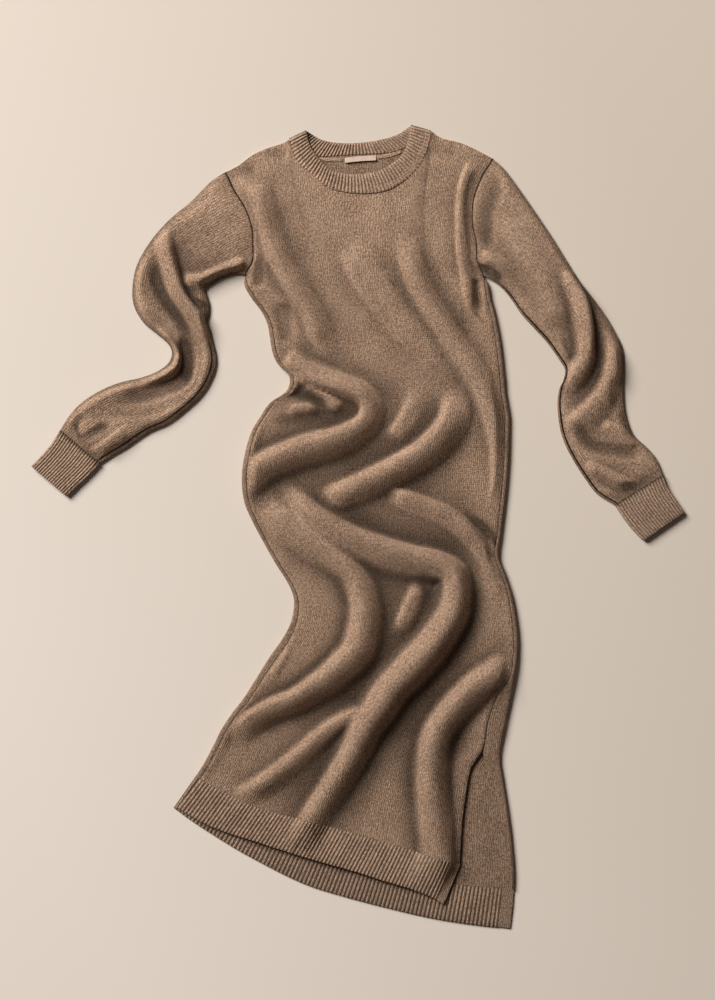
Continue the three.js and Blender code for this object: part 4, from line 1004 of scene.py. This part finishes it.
@dataclass
class Sleeve(FlatTube):
    """A sleeve, from the armhole to the cuff seam."""

    steps: int = 170
    above: int = 56
    below: int = 24
    edge: float = EDGE
    middle: float = 3.4
    thick: float = WALL
    folds: tuple[Fold, ...] = ()
    armhole: Array | None = field(default=None, repr=False)
    edge_loft: float = 6.2
    settle: float = 15.0
    bow_fade: float = 0.2
    armhole_fade: float = 0.06
    armhole_step: float = 0.008
    cuff_fade: float = 0.05

    def seam(self, share: Array) -> Array:
        """Point of the armhole seam at a share of its length."""
        knots = shares_of(self.armhole)
        return np.stack([np.interp(share, knots, self.armhole[:, c]) for c in range(3)], -1)

    def bow(self, share: Array, at: Array) -> Array:
        """Follow the body's armhole near it."""
        first, last = self.armhole[0, :2], self.armhole[-1, :2]
        straight = first + (last - first) * share[..., None]
        return (self.seam(share)[..., :2] - straight) * (1 - ease(at / self.bow_fade))[..., None]

    def top(self, place: Array, near: Array, at: Array) -> tuple[Array, Array, Array]:
        """Fold height, settled near the folded edges."""
        relief = Relief(self.folds, SLEEVE_LOFT, SLEEVE_LOW)
        height, sx, sy = relief.lie(place[..., 0], place[..., 1])
        settle = ease(near / self.settle) * ease((1 - at) / self.cuff_fade)
        return self.edge_loft + (height - self.edge_loft) * settle, sx * settle, sy * settle

    def meet(self, z: Array, share: Array, is_top: Array, at: Array) -> Array:
        """Take the armhole seam's own height at the armhole, and rise out of it at once."""
        fade = (1 - ease(at / self.armhole_fade)) * is_top
        step = SEAM_SINK * ease(at / self.armhole_step) * fade
        return z + (self.seam(share)[..., 2] - z) * fade + step


@dataclass
class Cuff(FlatTube):
    """A ribbed cuff with a soft turned end."""

    steps: int = 10
    above: int = 181
    below: int = 20
    edge: float = 6.0
    middle: float = 4.0
    thick: float = RIB_WALL
    rib_rise: float = 1.2
    ribs: int = 18

    def wave(self, share: Array) -> Array:
        """Raised ribs across."""
        return rib_wave(share * self.ribs)

    def finish_end(self, outer: Array, inner: Array) -> tuple[Array, Array]:
        """Round the open end: two more rings that close in on each other."""
        return rounded_end(outer, inner)


def rounded_end(outer: Array, inner: Array) -> tuple[Array, Array]:
    """Add two rows past the last that draw together on a half circle.

    Args:
        outer: Outer grid of a ribbed wall, its last row at the open end.
        inner: Inner grid.

    Returns:
        Both grids with the rows added.
    """
    way = outer[-1] - outer[-2]
    way /= np.maximum(np.linalg.norm(way, axis=-1, keepdims=True), TINY)
    through = inner[-1] - outer[-1]
    more_outer, more_inner = [outer], [inner]
    for angle in np.radians(END_TURNS):
        out = way * RIB_WALL / 2 * np.sin(angle)
        draw = through / 2 * (1 - np.cos(angle))
        more_outer.append((outer[-1] + out + draw)[None])
        more_inner.append((inner[-1] + out - draw)[None])
    return np.concatenate(more_outer), np.concatenate(more_inner)


# Ribbed bands


@dataclass
class RibStrip:
    """A flat ribbed band between a seam line and a free edge."""

    name: str
    ribs: int
    top_line: Callable[[Array], Array]
    end_line: Callable[[Array], Array]
    top_height: Callable[[Array], Array]
    end_height: Callable[[Array, Array, Array], Array]
    rise: float
    plain_end: float
    # painted shade over a band that lies under another, as a lower lift
    shade: float = 0.0
    plain_fade: float = 0.004
    seam_rise: float = 0.55
    seam_fade: float = 0.08
    crown: float = 0.8
    rows: int = 10
    per_rib: int = 8

    def build(self) -> bpy.types.Object:
        """Make the piece: straight ribs from line to line, but for a plain strip at its end."""
        share, down = np.meshgrid(np.linspace(0, 1, self.ribs * self.per_rib + 1),
                                  np.linspace(0, 1, self.rows))
        top, end = self.top_line(share), self.end_line(share)
        place = top + (end - top) * down[..., None]
        z_top = self.top_height(share)
        z_end = self.end_height(share, end[..., 0], end[..., 1])
        z = z_top + (z_end - z_top) * down + self.crown * np.sin(np.pi * down)
        wave = rib_wave(share * self.ribs) * ease((1 - self.plain_end - share) / self.plain_fade)
        settle = self.seam_rise + (1.0 - self.seam_rise) * ease(down / self.seam_fade)
        core = np.concatenate([place, z[..., None]], -1)
        outer = core + UP * (wave * settle * self.rise)[..., None]
        outer, inner = rounded_end(outer, core - UP * RIB_WALL)
        plain = share[:1] > 1 - self.plain_end
        # Painted shade between the ribs and painted highlight on their tops, through the lift; the plain
        # strip has no rib shade
        lift = np.broadcast_to(np.where(plain, 0.0, 2 * wave[:1] - 1) - self.shade, outer.shape[:2])
        length = float(np.hypot(*(end[0] - top[0]).T).mean())
        across, rows = share[0] * run_of(top[0])[-1], np.linspace(0, length, outer.shape[0])
        return Wall(self.name, outer, inner, np.stack(np.meshgrid(across, rows), -1), lift=lift).build()


@dataclass
class Neckband:
    """The crew neckband: a ring of rib, folded over at both shoulders."""

    front_ribs: int = 54
    back_ribs: int = 42
    per_rib: int = 8
    rows: int = 9
    deep: float = 28.0
    end_loft: float = 6.0
    middle_loft: float = 10.4
    rise: float = 1.7
    edge_rise: float = 0.3
    edge_fade: float = 0.12
    crown: float = 1.4
    back_crown: float = 0.35
    centre: tuple[float, float] = (3.0, 590.0)
    fold_columns: int = 9
    fold_turn: float = 75.0
    fold_push: float = 0.3
    left_way: tuple[float, float] = (-0.433, 0.902)
    right_way: tuple[float, float] = (0.266, 0.964)
    # painted shadow inside the back half near the left fold, as a lower lift
    inside_shadow: float = 2.2
    inside_fade: float = 0.16
    seam_rows: int = 3
    seam_lift: float = 0.4

    def loft(self, share: Array) -> Array:
        """Height of the front half along the neck: lowest at both ends."""
        return self.end_loft + (self.middle_loft - self.end_loft) * np.sin(np.pi * share) ** 0.6

    def drawn_in(self, line: Array) -> Array:
        """Seam points moved towards the neck's centre by the seam gap."""
        away = np.asarray(self.centre) - line
        return line + away / np.linalg.norm(away, axis=-1, keepdims=True) * SEAM

    def half(self, layer: Layer, share: Array, seam: tuple, edge: tuple, high: Array) -> tuple:
        """Columns of the ring's front or back half.

        Args:
            layer: Which half.
            share: Shares along the neck.
            seam: Line of the neck seam.
            edge: Line of the free edge.
            high: Heights of the wall's middle.

        Returns:
            Seam points, edge points, heights, outward directions, ribs passed, and layers.
        """
        ribs = self.front_ribs if layer is Layer.FRONT else self.back_ribs
        out = np.tile(UP * layer, (len(share), 1))
        return (self.drawn_in(along(seam, share)), along(edge, share), high, out, share * ribs,
                np.full(len(share), layer))

    def fold(self, share: float, outward: tuple[float, float], first: float) -> tuple:
        """Columns round a fold, a half circle between the two halves, as half gives them."""
        radius = (self.end_loft - RIB_WALL) / 2
        angle = np.radians(np.linspace(first, -first, self.fold_columns))
        flat = np.asarray(outward) * np.cos(angle)[:, None]
        push = flat * radius * self.fold_push
        at = np.array([share])
        high = self.end_loft / 2 + radius * np.sin(angle)
        out = np.column_stack([flat, np.sin(angle)])
        return (self.drawn_in(along(FRONT_NECK_SEAM, at)) + push, along(FRONT_NECK_EDGE, at) + push,
                high, out, np.zeros(len(angle)), np.full(len(angle), Layer.FOLD))

    def build(self) -> bpy.types.Object:
        """Make the piece from columns of the front half, a fold, the back half and a fold."""
        share = np.linspace(0, 1, self.front_ribs * self.per_rib + 1)
        back = np.linspace(1, 0, self.back_ribs * self.per_rib + 1)
        low = np.full(len(back), RIB_WALL / 2)
        columns = (
            self.half(Layer.FRONT, share, FRONT_NECK_SEAM, FRONT_NECK_EDGE, self.loft(share) - RIB_WALL / 2),
            self.fold(1.0, self.right_way, self.fold_turn),
            self.half(Layer.BACK, back, BACK_NECK_SEAM, BACK_NECK_EDGE, low),
            self.fold(0.0, self.left_way, -self.fold_turn),
        )
        seam, edge, high, out, turns, layer = (np.concatenate(part) for part in zip(*columns))
        rib = rib_wave(turns)
        down = np.linspace(0, 1, self.rows)[:, None]
        place = edge + (seam - edge) * down[..., None]
        full = np.where(layer == Layer.FRONT, 1.0, self.back_crown) * np.abs(out[:, 2])
        high = high + self.crown * np.sin(np.pi * down) ** 0.8 * full
        core = np.concatenate([place, high[..., None]], -1)
        rise = (self.edge_rise + (1.0 - self.edge_rise) * ease(down / self.edge_fade)) * self.rise * rib
        outer = core + out * (RIB_WALL / 2 + rise * (layer == Layer.FRONT))[..., None]
        inner = core - out * (RIB_WALL / 2 + rise * (layer == Layer.BACK))[..., None]
        outer, inner = rounded_end(outer[::-1], inner[::-1])
        uv = np.stack(np.meshgrid(run_of(seam), np.linspace(0, self.deep, outer.shape[0])), -1)
        # Painted shade between the ribs and painted highlight on their tops, a painted shadow inside the
        # back half near its left fold; at the seam the front half's rows are kept light
        inside = np.zeros(len(layer))
        inside[layer == Layer.BACK] = 1.0 - ease(back / self.inside_fade)
        lift = np.tile(2 * rib - 1 - self.inside_shadow * inside, (outer.shape[0], 1))
        lift[-self.seam_rows:] = np.where(layer == Layer.FRONT, np.maximum(lift[0], self.seam_lift), lift[0])
        return Wall("neckband_knit", outer[::-1], inner[::-1], uv[::-1], True, lift).build()


@dataclass
class SeamRoll:
    """A low raised line of linked stitches along a seam, or a narrow tape over one."""

    name: str
    line: Array
    wide: float = 1.7
    rise: float = 1.0
    sides: int = 8
    base: float = 0.1
    blunt: float = 0.3
    taper: float = 3.0

    def build(self) -> bpy.types.Object:
        """Make the piece: half an ellipse, wide by rise, drawn along the line, flat below."""
        way = np.gradient(self.line, axis=0)
        right = np.stack([-way[:, 1], way[:, 0], 0 * way[:, 0]], -1)
        right /= np.linalg.norm(right, axis=-1, keepdims=True)
        angle = np.linspace(0.0, np.pi, self.sides + 1)
        count = np.arange(len(way))
        end = ease(np.minimum(count, count[::-1]) / self.taper + self.blunt)[:, None]
        across = -0.5 * self.wide * np.cos(angle) * end
        flat = self.line[:, None] + right[:, None] * across[..., None]
        outer = flat + UP * (self.rise * np.sin(angle) * end)[..., None]
        uv = np.stack([across, np.broadcast_to(run_of(self.line)[:, None], across.shape)], -1)
        return Wall(self.name, outer, flat - UP * self.base, uv).build()


@dataclass
class NeckLabel:
    """The blank woven label inside the back of the neck."""

    line: tuple = ((-20, 549.6), (2, 552), (27, 553.4))
    wide: float = 48.0
    deep: float = 8.0
    thick: float = 0.8
    under: float = 2.3
    lifted: float = 2.4
    ripple: float = 0.25
    corner: float = 0.12
    corner_fade: float = 0.04
    columns: int = 40
    rows: int = 9

    def build(self) -> bpy.types.Object:
        """Make the piece: a strip with a soft crown and rounded ends, its free edge lifted."""
        share, side = np.meshgrid(np.linspace(0, 1, self.columns), np.linspace(0.5, -0.5, self.rows))
        middle = along(self.line, share)
        end = 1 - self.corner * (1 - ease(np.minimum(share, 1 - share) / self.corner_fade))
        below = self.under + self.lifted * (0.5 - side) ** 1.5
        crown = self.thick * (0.75 + 0.25 * np.cos(np.pi * side)) + self.ripple * np.sin(9 * share) ** 2
        x, y = middle[..., 0], middle[..., 1] + side * self.deep * end
        uv = np.stack([share * self.wide, (0.5 - side) * self.deep], -1)
        outer, inner = np.stack([x, y, below + crown], -1), np.stack([x, y, below], -1)
        return Wall("neck_label_tape", outer, inner, uv).build()


# Shaders


def by_math(operation: str, turned: bool = False) -> Callable[..., Term]:
    """A method that makes a Math node of an operation, its values turned round if asked."""

    def method(term: Term, *others: Term | float) -> Term:
        """The operation over a term and the others."""
        values = [term, *others]
        settings = {"operation": operation}
        return term.shader.node("ShaderNodeMath", settings, values[::-1] if turned else values)

    return method


class Term:
    """A socket of a shader, so that sums of values are written as plain expressions."""

    def __init__(self, shader: Shader, socket: bpy.types.NodeSocket) -> None:
        """Hold the socket and the shader that new nodes go to."""
        self.shader = shader
        self.socket = socket

    __add__ = by_math("ADD")
    __mul__ = by_math("MULTIPLY")
    __sub__ = by_math("SUBTRACT")
    __rsub__ = by_math("SUBTRACT", turned=True)
    __pow__ = by_math("POWER")
    __abs__ = by_math("ABSOLUTE")
    fraction = by_math("FRACT")
    sine = by_math("SINE")
    least = by_math("MINIMUM")

    def clamped(self) -> Term:
        """The value held between 0 and 1."""
        return self.shader.node("ShaderNodeClamp", {}, [self])


class Shader:
    """A material that is built up from nodes."""

    def __init__(self, name: str) -> None:
        """Start a material with a Principled surface."""
        self.material = bpy.data.materials.new(name)
        self.material.use_nodes = True
        self.tree = self.material.node_tree
        self.surface = self.tree.nodes["Principled BSDF"]

    def node(self, kind: str, settings: dict, values: dict | list, out: int | str = 0) -> Term:
        """Add a node.

        Args:
            kind: Type of the node.
            settings: Its settings.
            values: Values or terms of its inputs, by position or by name.
            out: Its output.

        Returns:
            The output as a term.
        """
        made = self.tree.nodes.new(kind)
        for key, value in settings.items():
            setattr(made, key, value)
        pairs = enumerate(values) if isinstance(values, list) else values.items()
        for key, value in pairs:
            self.feed(made.inputs[key], value)
        return Term(self, made.outputs[out])

    def feed(self, socket: bpy.types.NodeSocket, value: object) -> None:
        """Link a term to a socket, or set its value."""
        if isinstance(value, Term):
            self.tree.links.new(value.socket, socket)
        else:
            socket.default_value = value

    def cover(self, values: dict[str, object]) -> bpy.types.Material:
        """Feed the surface's inputs by name, and give the material."""
        for key, value in values.items():
            self.feed(self.surface.inputs[key], value)
        return self.material

    def coordinate(self, kind: str) -> Term:
        """A texture coordinate, UV or Object."""
        return self.node("ShaderNodeTexCoord", {}, {}, kind)

    def parts(self, place: Term) -> list[Term]:
        """The three numbers of a place."""
        split = self.tree.nodes.new("ShaderNodeSeparateXYZ")
        self.feed(split.inputs[0], place)
        return [Term(self, part) for part in split.outputs]

    def mix(self, share: Term | float, a: object, b: object, blend: str = "MIX") -> Term:
        """Mix of two colours."""
        settings = {"data_type": "RGBA", "blend_type": blend}
        return self.node("ShaderNodeMix", settings, {0: share, 6: a, 7: b}, 2)

    def noise(self, place: Term, scale: float, detail: float = 2.0, rough: float = 0.5) -> Term:
        """Noise of a scale at a place, 0 to 1."""
        values = {"Vector": place, "Scale": scale, "Detail": detail, "Roughness": rough}
        return self.node("ShaderNodeTexNoise", {}, values)

    def bump(self, strength: float, distance: float, height: Term) -> Term:
        """A normal bent by a height."""
        values = {"Strength": strength, "Distance": distance, "Height": height}
        return self.node("ShaderNodeBump", {}, values)


def rgba(colour: tuple[float, float, float]) -> tuple[float, float, float, float]:
    """A colour with full opacity."""
    return (*colour, 1.0)


@dataclass(frozen=True)
class YarnFinish:
    """Knitted cloth of a soft heathered yarn."""

    name: str
    light: tuple[float, float, float]
    dark: tuple[float, float, float]
    wale: float = 3.4
    course: float = 2.8
    wander: float = 2.2
    drift: float = 1.2
    slant: float = 0.28
    relief: float = 1.2
    # painted shade in the stitch grooves: how deep, and the share of it found everywhere
    groove: float = 0.58
    even_groove: float = 0.4
    heather: float = 2.6
    patches: float = 0.7
    # painted light on raised points and painted shade in hollows, from the lift
    painted_crest_light: float = -0.05
    hollow: float = 0.95
    # painted light falloff: how much darker the knit is towards the hem
    painted_falloff: float = 0.2
    roughness: float = 0.95
    shine: float = 0.12
    sheen: float = 0.12
    sheen_colour: tuple[float, float, float] = (0.9, 0.75, 0.62)
    fuzz_noise: tuple[float, float, float] = (700.0, 3.0, 0.7)
    fibre_noise: tuple[float, float, float] = (330.0, 3.0, 0.65)
    patch_noise: tuple[float, float, float] = (30.0, 3.0, 0.6)
    wander_scale: float = 120.0
    uneven_scale: float = 60.0

    def stitches(self, s: Shader, place: Term) -> Term:
        """Slanted stitch legs in every wale: 0 in the grooves and 1 on top."""
        u, v, _ = s.parts(s.coordinate("UV"))
        wobble = s.noise(place, self.wander_scale) - 0.5
        leg = abs((u * (PER_METRE / self.wale) + wobble * self.wander).fraction() - 0.5) * 2.0
        rows = v * (PER_METRE / self.course) + wobble * self.drift
        wave = ((rows - leg * 0.6) * (2 * math.pi)).sine()
        return (1.0 - leg ** 2.0) * (wave * self.slant + (1.0 - self.slant))

    def material(self) -> bpy.types.Material:
        """Build it: stitches, a heathered colour, painted shade in hollows, and a painted light falloff
        darker to the hem.
        """
        s = Shader(self.name)
        place = s.coordinate("Object")
        stitch = self.stitches(s, place)
        fuzz = s.noise(place, *self.fuzz_noise)
        patch = s.noise(place, *self.patch_noise)
        fibre = s.noise(place, *self.fibre_noise)
        uneven = (s.noise(place, self.uneven_scale) * 2.6 - 0.8).clamped()
        tone = ((fibre - 0.5) * self.heather + (patch - 0.5) * self.patches + 0.5).clamped()
        colour = s.mix(tone, rgba(self.dark), rgba(self.light))
        # Painted shade in the stitch grooves, deeper where the noise is uneven
        even = self.groove * self.even_groove
        depth = 1.0 - (1.0 - stitch) * (uneven * (self.groove - even) + even)
        # Painted shade where the lift is low, scaled by hollow, and a painted change of light where it is
        # high: a highlight on the rib, a faint shade on the knit
        lift = s.node("ShaderNodeAttribute", {"attribute_name": "lift"}, {}, "Fac")
        depth = depth * (lift * self.painted_crest_light + lift.least(0.0) * self.hollow + 1.0)
        # Painted light falloff, darker towards the hem
        depth = depth * (s.parts(place)[1] * self.painted_falloff + 1.0)
        shade = s.node("ShaderNodeCombineColor", {}, [depth] * 3)
        return s.cover({
            "Base Color": s.mix(1.0, colour, shade, "MULTIPLY"),
            "Normal": s.bump(0.9, self.relief * MM, stitch * 0.7 + fuzz * 0.6 + fibre * 0.5),
            "Roughness": self.roughness,
            "Specular IOR Level": self.shine,
            "Sheen Weight": self.sheen,
            "Sheen Roughness": 0.5,
            "Sheen Tint": rgba(self.sheen_colour),
        })


@dataclass(frozen=True)
class TapeFinish:
    """Blank satin-woven tape."""

    name: str
    colour: tuple[float, float, float]
    threads: float = 9000.0
    deep: float = 8.0
    thread_dark: float = 0.8
    border_dark: float = 0.6

    def material(self) -> bpy.types.Material:
        """Build it: fine crossing threads, darker along both edges."""
        s = Shader(self.name)
        u, v, _ = s.parts(s.coordinate("UV"))
        weave = (u * self.threads).sine() * (v * self.threads).sine() * 0.5 + 0.5
        border = (abs(v * (PER_METRE / self.deep) - 0.5) * 2.0) ** 12.0
        shades = (self.thread_dark, self.border_dark)
        dark, darker = (rgba(tuple(c * k for c in self.colour)) for k in shades)
        colour = s.mix(weave * 0.25, rgba(self.colour), dark)
        return s.cover({
            "Base Color": s.mix(border * 0.4, colour, darker),
            "Normal": s.bump(0.4, 0.1 * MM, weave),
            "Roughness": 0.55,
            "Sheen Weight": 0.1,
        })


@dataclass(frozen=True)
class TableFinish:
    """A plain pale painted surface."""

    name: str
    colour: tuple[float, float, float]
    # colour at the dark end of the painted light falloff
    far: tuple[float, float, float]
    across: float = 0.75
    up: float = 0.35
    cloud: float = 0.2
    cloud_scale: float = 1.4

    def material(self) -> bpy.types.Material:
        """Build it: a painted light falloff, a little darker to the upper right, with faint large clouds."""
        s = Shader(self.name)
        place = s.coordinate("Object")
        x, y, _ = s.parts(place)
        clouds = (s.noise(place, self.cloud_scale) - 0.5) * self.cloud
        # Painted light falloff towards the upper right, with faint clouds of tone
        painted_falloff = (x * self.across + y * self.up + 0.5 + clouds).clamped()
        return s.cover({
            "Base Color": s.mix(painted_falloff, rgba(self.colour), rgba(self.far)),
            "Roughness": 0.85,
            "Specular IOR Level": 0.2,
        })


# The studio


@dataclass
class Studio:
    """Camera straight above, one large soft light from the upper left, and a pale table."""

    distance: float = 4.0
    frame_height: float = 1.5
    sensor: float = 36.0
    centre: tuple[float, float] = (-0.00075, 0.0405)
    key_turn: float = 136.0
    key_height: float = 37.0
    key_distance: float = 11.0
    key_size: float = 6.0
    key_power: float = 1670.0
    key_colour: tuple[float, float, float] = (1.0, 0.965, 0.92)
    sky: float = 0.065
    sky_colour: tuple[float, float, float] = (1.0, 0.84, 0.72)
    table_half: float = 6.0
    table_drop: float = 0.0004
    clip_end: float = 50.0
    # the table's colours: its own at the lower left, darker to the upper right as painted light falloff
    paint: TableFinish = TableFinish("table_paint", (0.89, 0.808, 0.735), (0.73, 0.643, 0.555))

    def camera(self) -> None:
        """Aim the camera so that the floor fills the frame as in the photograph."""
        data = bpy.data.cameras.new("overhead")
        data.sensor_fit = "VERTICAL"
        data.sensor_height = self.sensor
        data.lens = self.sensor * self.distance / self.frame_height
        data.clip_end = self.clip_end
        eye = bpy.data.objects.new("overhead", data)
        eye.location = (*self.centre, self.distance)
        scene = bpy.context.scene
        scene.collection.objects.link(eye)
        scene.camera = eye
        scene.view_settings.view_transform = "Standard"

    def lights(self) -> None:
        """Add the soft key light, turned to the middle of the table, and an even sky."""
        data = bpy.data.lights.new("key", "AREA")
        data.shape = "DISK"
        data.size = self.key_size
        data.energy = self.key_power
        data.color = self.key_colour
        key = bpy.data.objects.new("key", data)
        turn, height = math.radians(self.key_turn), math.radians(self.key_height)
        flat = self.key_distance * math.cos(height)
        key.location = (flat * math.cos(turn), flat * math.sin(turn), self.key_distance * math.sin(height))
        key.rotation_euler = (0.0, math.radians(90.0) - height, turn)
        bpy.context.scene.collection.objects.link(key)
        world = bpy.data.worlds.new("sky")
        bpy.context.scene.world = world
        world.use_nodes = True
        background = world.node_tree.nodes["Background"]
        background.inputs["Color"].default_value = rgba(self.sky_colour)
        background.inputs["Strength"].default_value = self.sky

    def table(self) -> None:
        """Lay the table top under the dress."""
        mesh = bpy.data.meshes.new("table_top")
        signs = ((-1, -1), (1, -1), (1, 1), (-1, 1))
        corners = [(x * self.table_half, y * self.table_half, -self.table_drop) for x, y in signs]
        mesh.from_pydata(corners, [], [(0, 1, 2, 3)])
        top = bpy.data.objects.new("table_top", mesh)
        bpy.context.scene.collection.objects.link(top)
        mesh.materials.append(self.paint.material())


# The dress


@dataclass
class Dress:
    """Builds every piece, gives it its finish and ties it to the frame."""

    knit: YarnFinish = YarnFinish("taupe_knit", (0.78, 0.532, 0.376), (0.252, 0.152, 0.097))
    # on the rib a high lift is a painted highlight on rib tops, a low one painted shade between them
    rib: YarnFinish = YarnFinish("taupe_rib", (0.68, 0.475, 0.345), (0.25, 0.155, 0.103), wale=2.4,
                                 groove=0.4, painted_crest_light=0.2, hollow=0.42)
    tape: TapeFinish = TapeFinish("label_tape", (0.62, 0.47, 0.38))
    finishes: dict[str, bpy.types.Material] = field(default_factory=dict)
    pieces: dict[str, bpy.types.Object] = field(default_factory=dict)

    def dress(self, piece: bpy.types.Object, slot: str, node: str | None = None) -> None:
        """Give a piece its finish and tie it to the frame, in place of a solid if one is named."""
        piece.data.materials.append(self.finishes[slot])
        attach(piece, "root")
        if node:
            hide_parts(node)
            self.pieces[node] = piece
        log.info("%s: %d faces, slot %s", piece.name, len(piece.data.polygons), slot)

    def seams(self, front: FrontPanel, band: Neckband) -> None:
        """Add the linked seam round the front neckband and the covered seam behind the neck."""
        share = (front.shares() - NECK_START) / (NECK_STOP - NECK_START)
        neck = (share > NECK_ROLL_END) & (share < 1.0 - NECK_ROLL_END)
        line = front.top[0, neck].copy()
        line[:, 2] = np.maximum(line[:, 2], band.loft(share[neck])) - NECK_ROLL_SINK
        rolls = [SeamRoll("neck_seam_front", line)]
        for side, points in NECK_TAPES:
            flat = along(points, np.linspace(0, 1, NECK_TAPE_STEPS))
            tape = np.column_stack([flat, np.full(len(flat), NECK_TAPE_HEIGHT)])
            rolls.append(SeamRoll(f"neck_tape_{side}", tape, NECK_TAPE_WIDE, NECK_TAPE_RISE))
        for roll in rolls:
            self.dress(roll.build(), "knit")

    def sleeves(self, top: Array) -> None:
        """Add both sleeves, a seam gap outside the body's armhole edges."""
        rows = int((PLAN.stations() <= ARMHOLE_END + TINY).sum())
        for side, column, table, folds, creases, seam in (
            ("left", 0, LEFT_SLEEVE, LEFT_SLEEVE_FOLDS, LEFT_SLEEVE_CREASES, LEFT_SLEEVE_SEAM),
            ("right", -1, RIGHT_SLEEVE, RIGHT_SLEEVE_FOLDS, RIGHT_SLEEVE_CREASES, RIGHT_SLEEVE_SEAM),
        ):
            mirrored = side == "right"
            armhole = top[:rows, column].copy()
            armhole[:, 0] += SEAM if mirrored else -SEAM
            sleeve = Sleeve(f"sleeve_{side}_cloth", table, mirrored, folds=folds, creases=creases,
                            seam_in=seam[0], seam_from=seam[1], armhole=armhole)
            self.dress(sleeve.build(), "knit", f"sleeve_{side}_of_view")

    def hems(self, edge: Array) -> None:
        """Add both hem bands, the front one along the front's lower edge."""
        knots = shares_of(edge)
        gap = np.array([0.1, SEAM])

        def front_top(share: Array) -> Array:
            """The front's lower edge, a seam gap away."""
            return np.stack([np.interp(share, knots, edge[:, c]) for c in range(2)], -1) - gap

        def front_lift(share: Array, x: Array, y: Array) -> Array:
            """Height of the front's free edge: bowed up, and over the folds that reach it."""
            rolls = np.maximum(BODY_RELIEF.lie(x, y)[0] - BODY_LOFT, 0)
            inward = ease(share / HEM_EDGE_FADE) * ease((1 - share) / HEM_EDGE_FADE)
            bow = HEM_EDGE_BOW * np.abs(np.sin(np.pi * share)) ** 0.7
            return HEM_EDGE_HEIGHT + HEM_EDGE_RISE * share + bow + HEM_EDGE_FOLDS * rolls * inward

        front = RibStrip(
            "hem_front_rib", 77, front_top, lambda share: along(FRONT_HEM_END, share),
            lambda share: np.interp(share, knots, edge[:, 2]), front_lift, rise=1.4, plain_end=0.03,
        )
        back = RibStrip(
            "hem_back_rib", 88, lambda share: along(BACK_HEM_TOP, share) - gap,
            lambda share: along(BACK_HEM_END, share), lambda share: np.full(share.shape, RIB_WALL),
            lambda share, x, y: np.full(share.shape, RIB_WALL + 0.2), rise=1.1, plain_end=0.035,
            shade=0.35,
        )
        self.dress(front.build(), "rib", "hem_band_front")
        self.dress(back.build(), "rib", "hem_band_back")

    def build(self) -> None:
        """Build the pieces in the order in which a maker sews them."""
        self.finishes = {"knit": self.knit.material(), "rib": self.rib.material(),
                         "label": self.tape.material()}
        front, band = FrontPanel(), Neckband()
        self.dress(front.build(), "knit", "front_panel")
        self.dress(BackPanel().build(), "knit", "back_panel")
        self.sleeves(front.top)
        for side, table in (("left", LEFT_CUFF), ("right", RIGHT_CUFF)):
            cuff = Cuff(f"cuff_{side}_rib", table, side == "right")
            self.dress(cuff.build(), "rib", f"cuff_{side}_of_view")
        self.dress(band.build(), "rib", "neckband")
        self.hems(front.top[-1])
        self.dress(NeckLabel().build(), "label", "neck_label")
        self.seams(front, band)


def main() -> None:
    """Load the frame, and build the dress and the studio."""
    logging.basicConfig(level=logging.INFO, format="%(name)s: %(message)s")
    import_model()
    studio = Studio()
    studio.camera()
    studio.lights()
    studio.table()
    Dress().build()


if __name__ == "__main__":
    main()
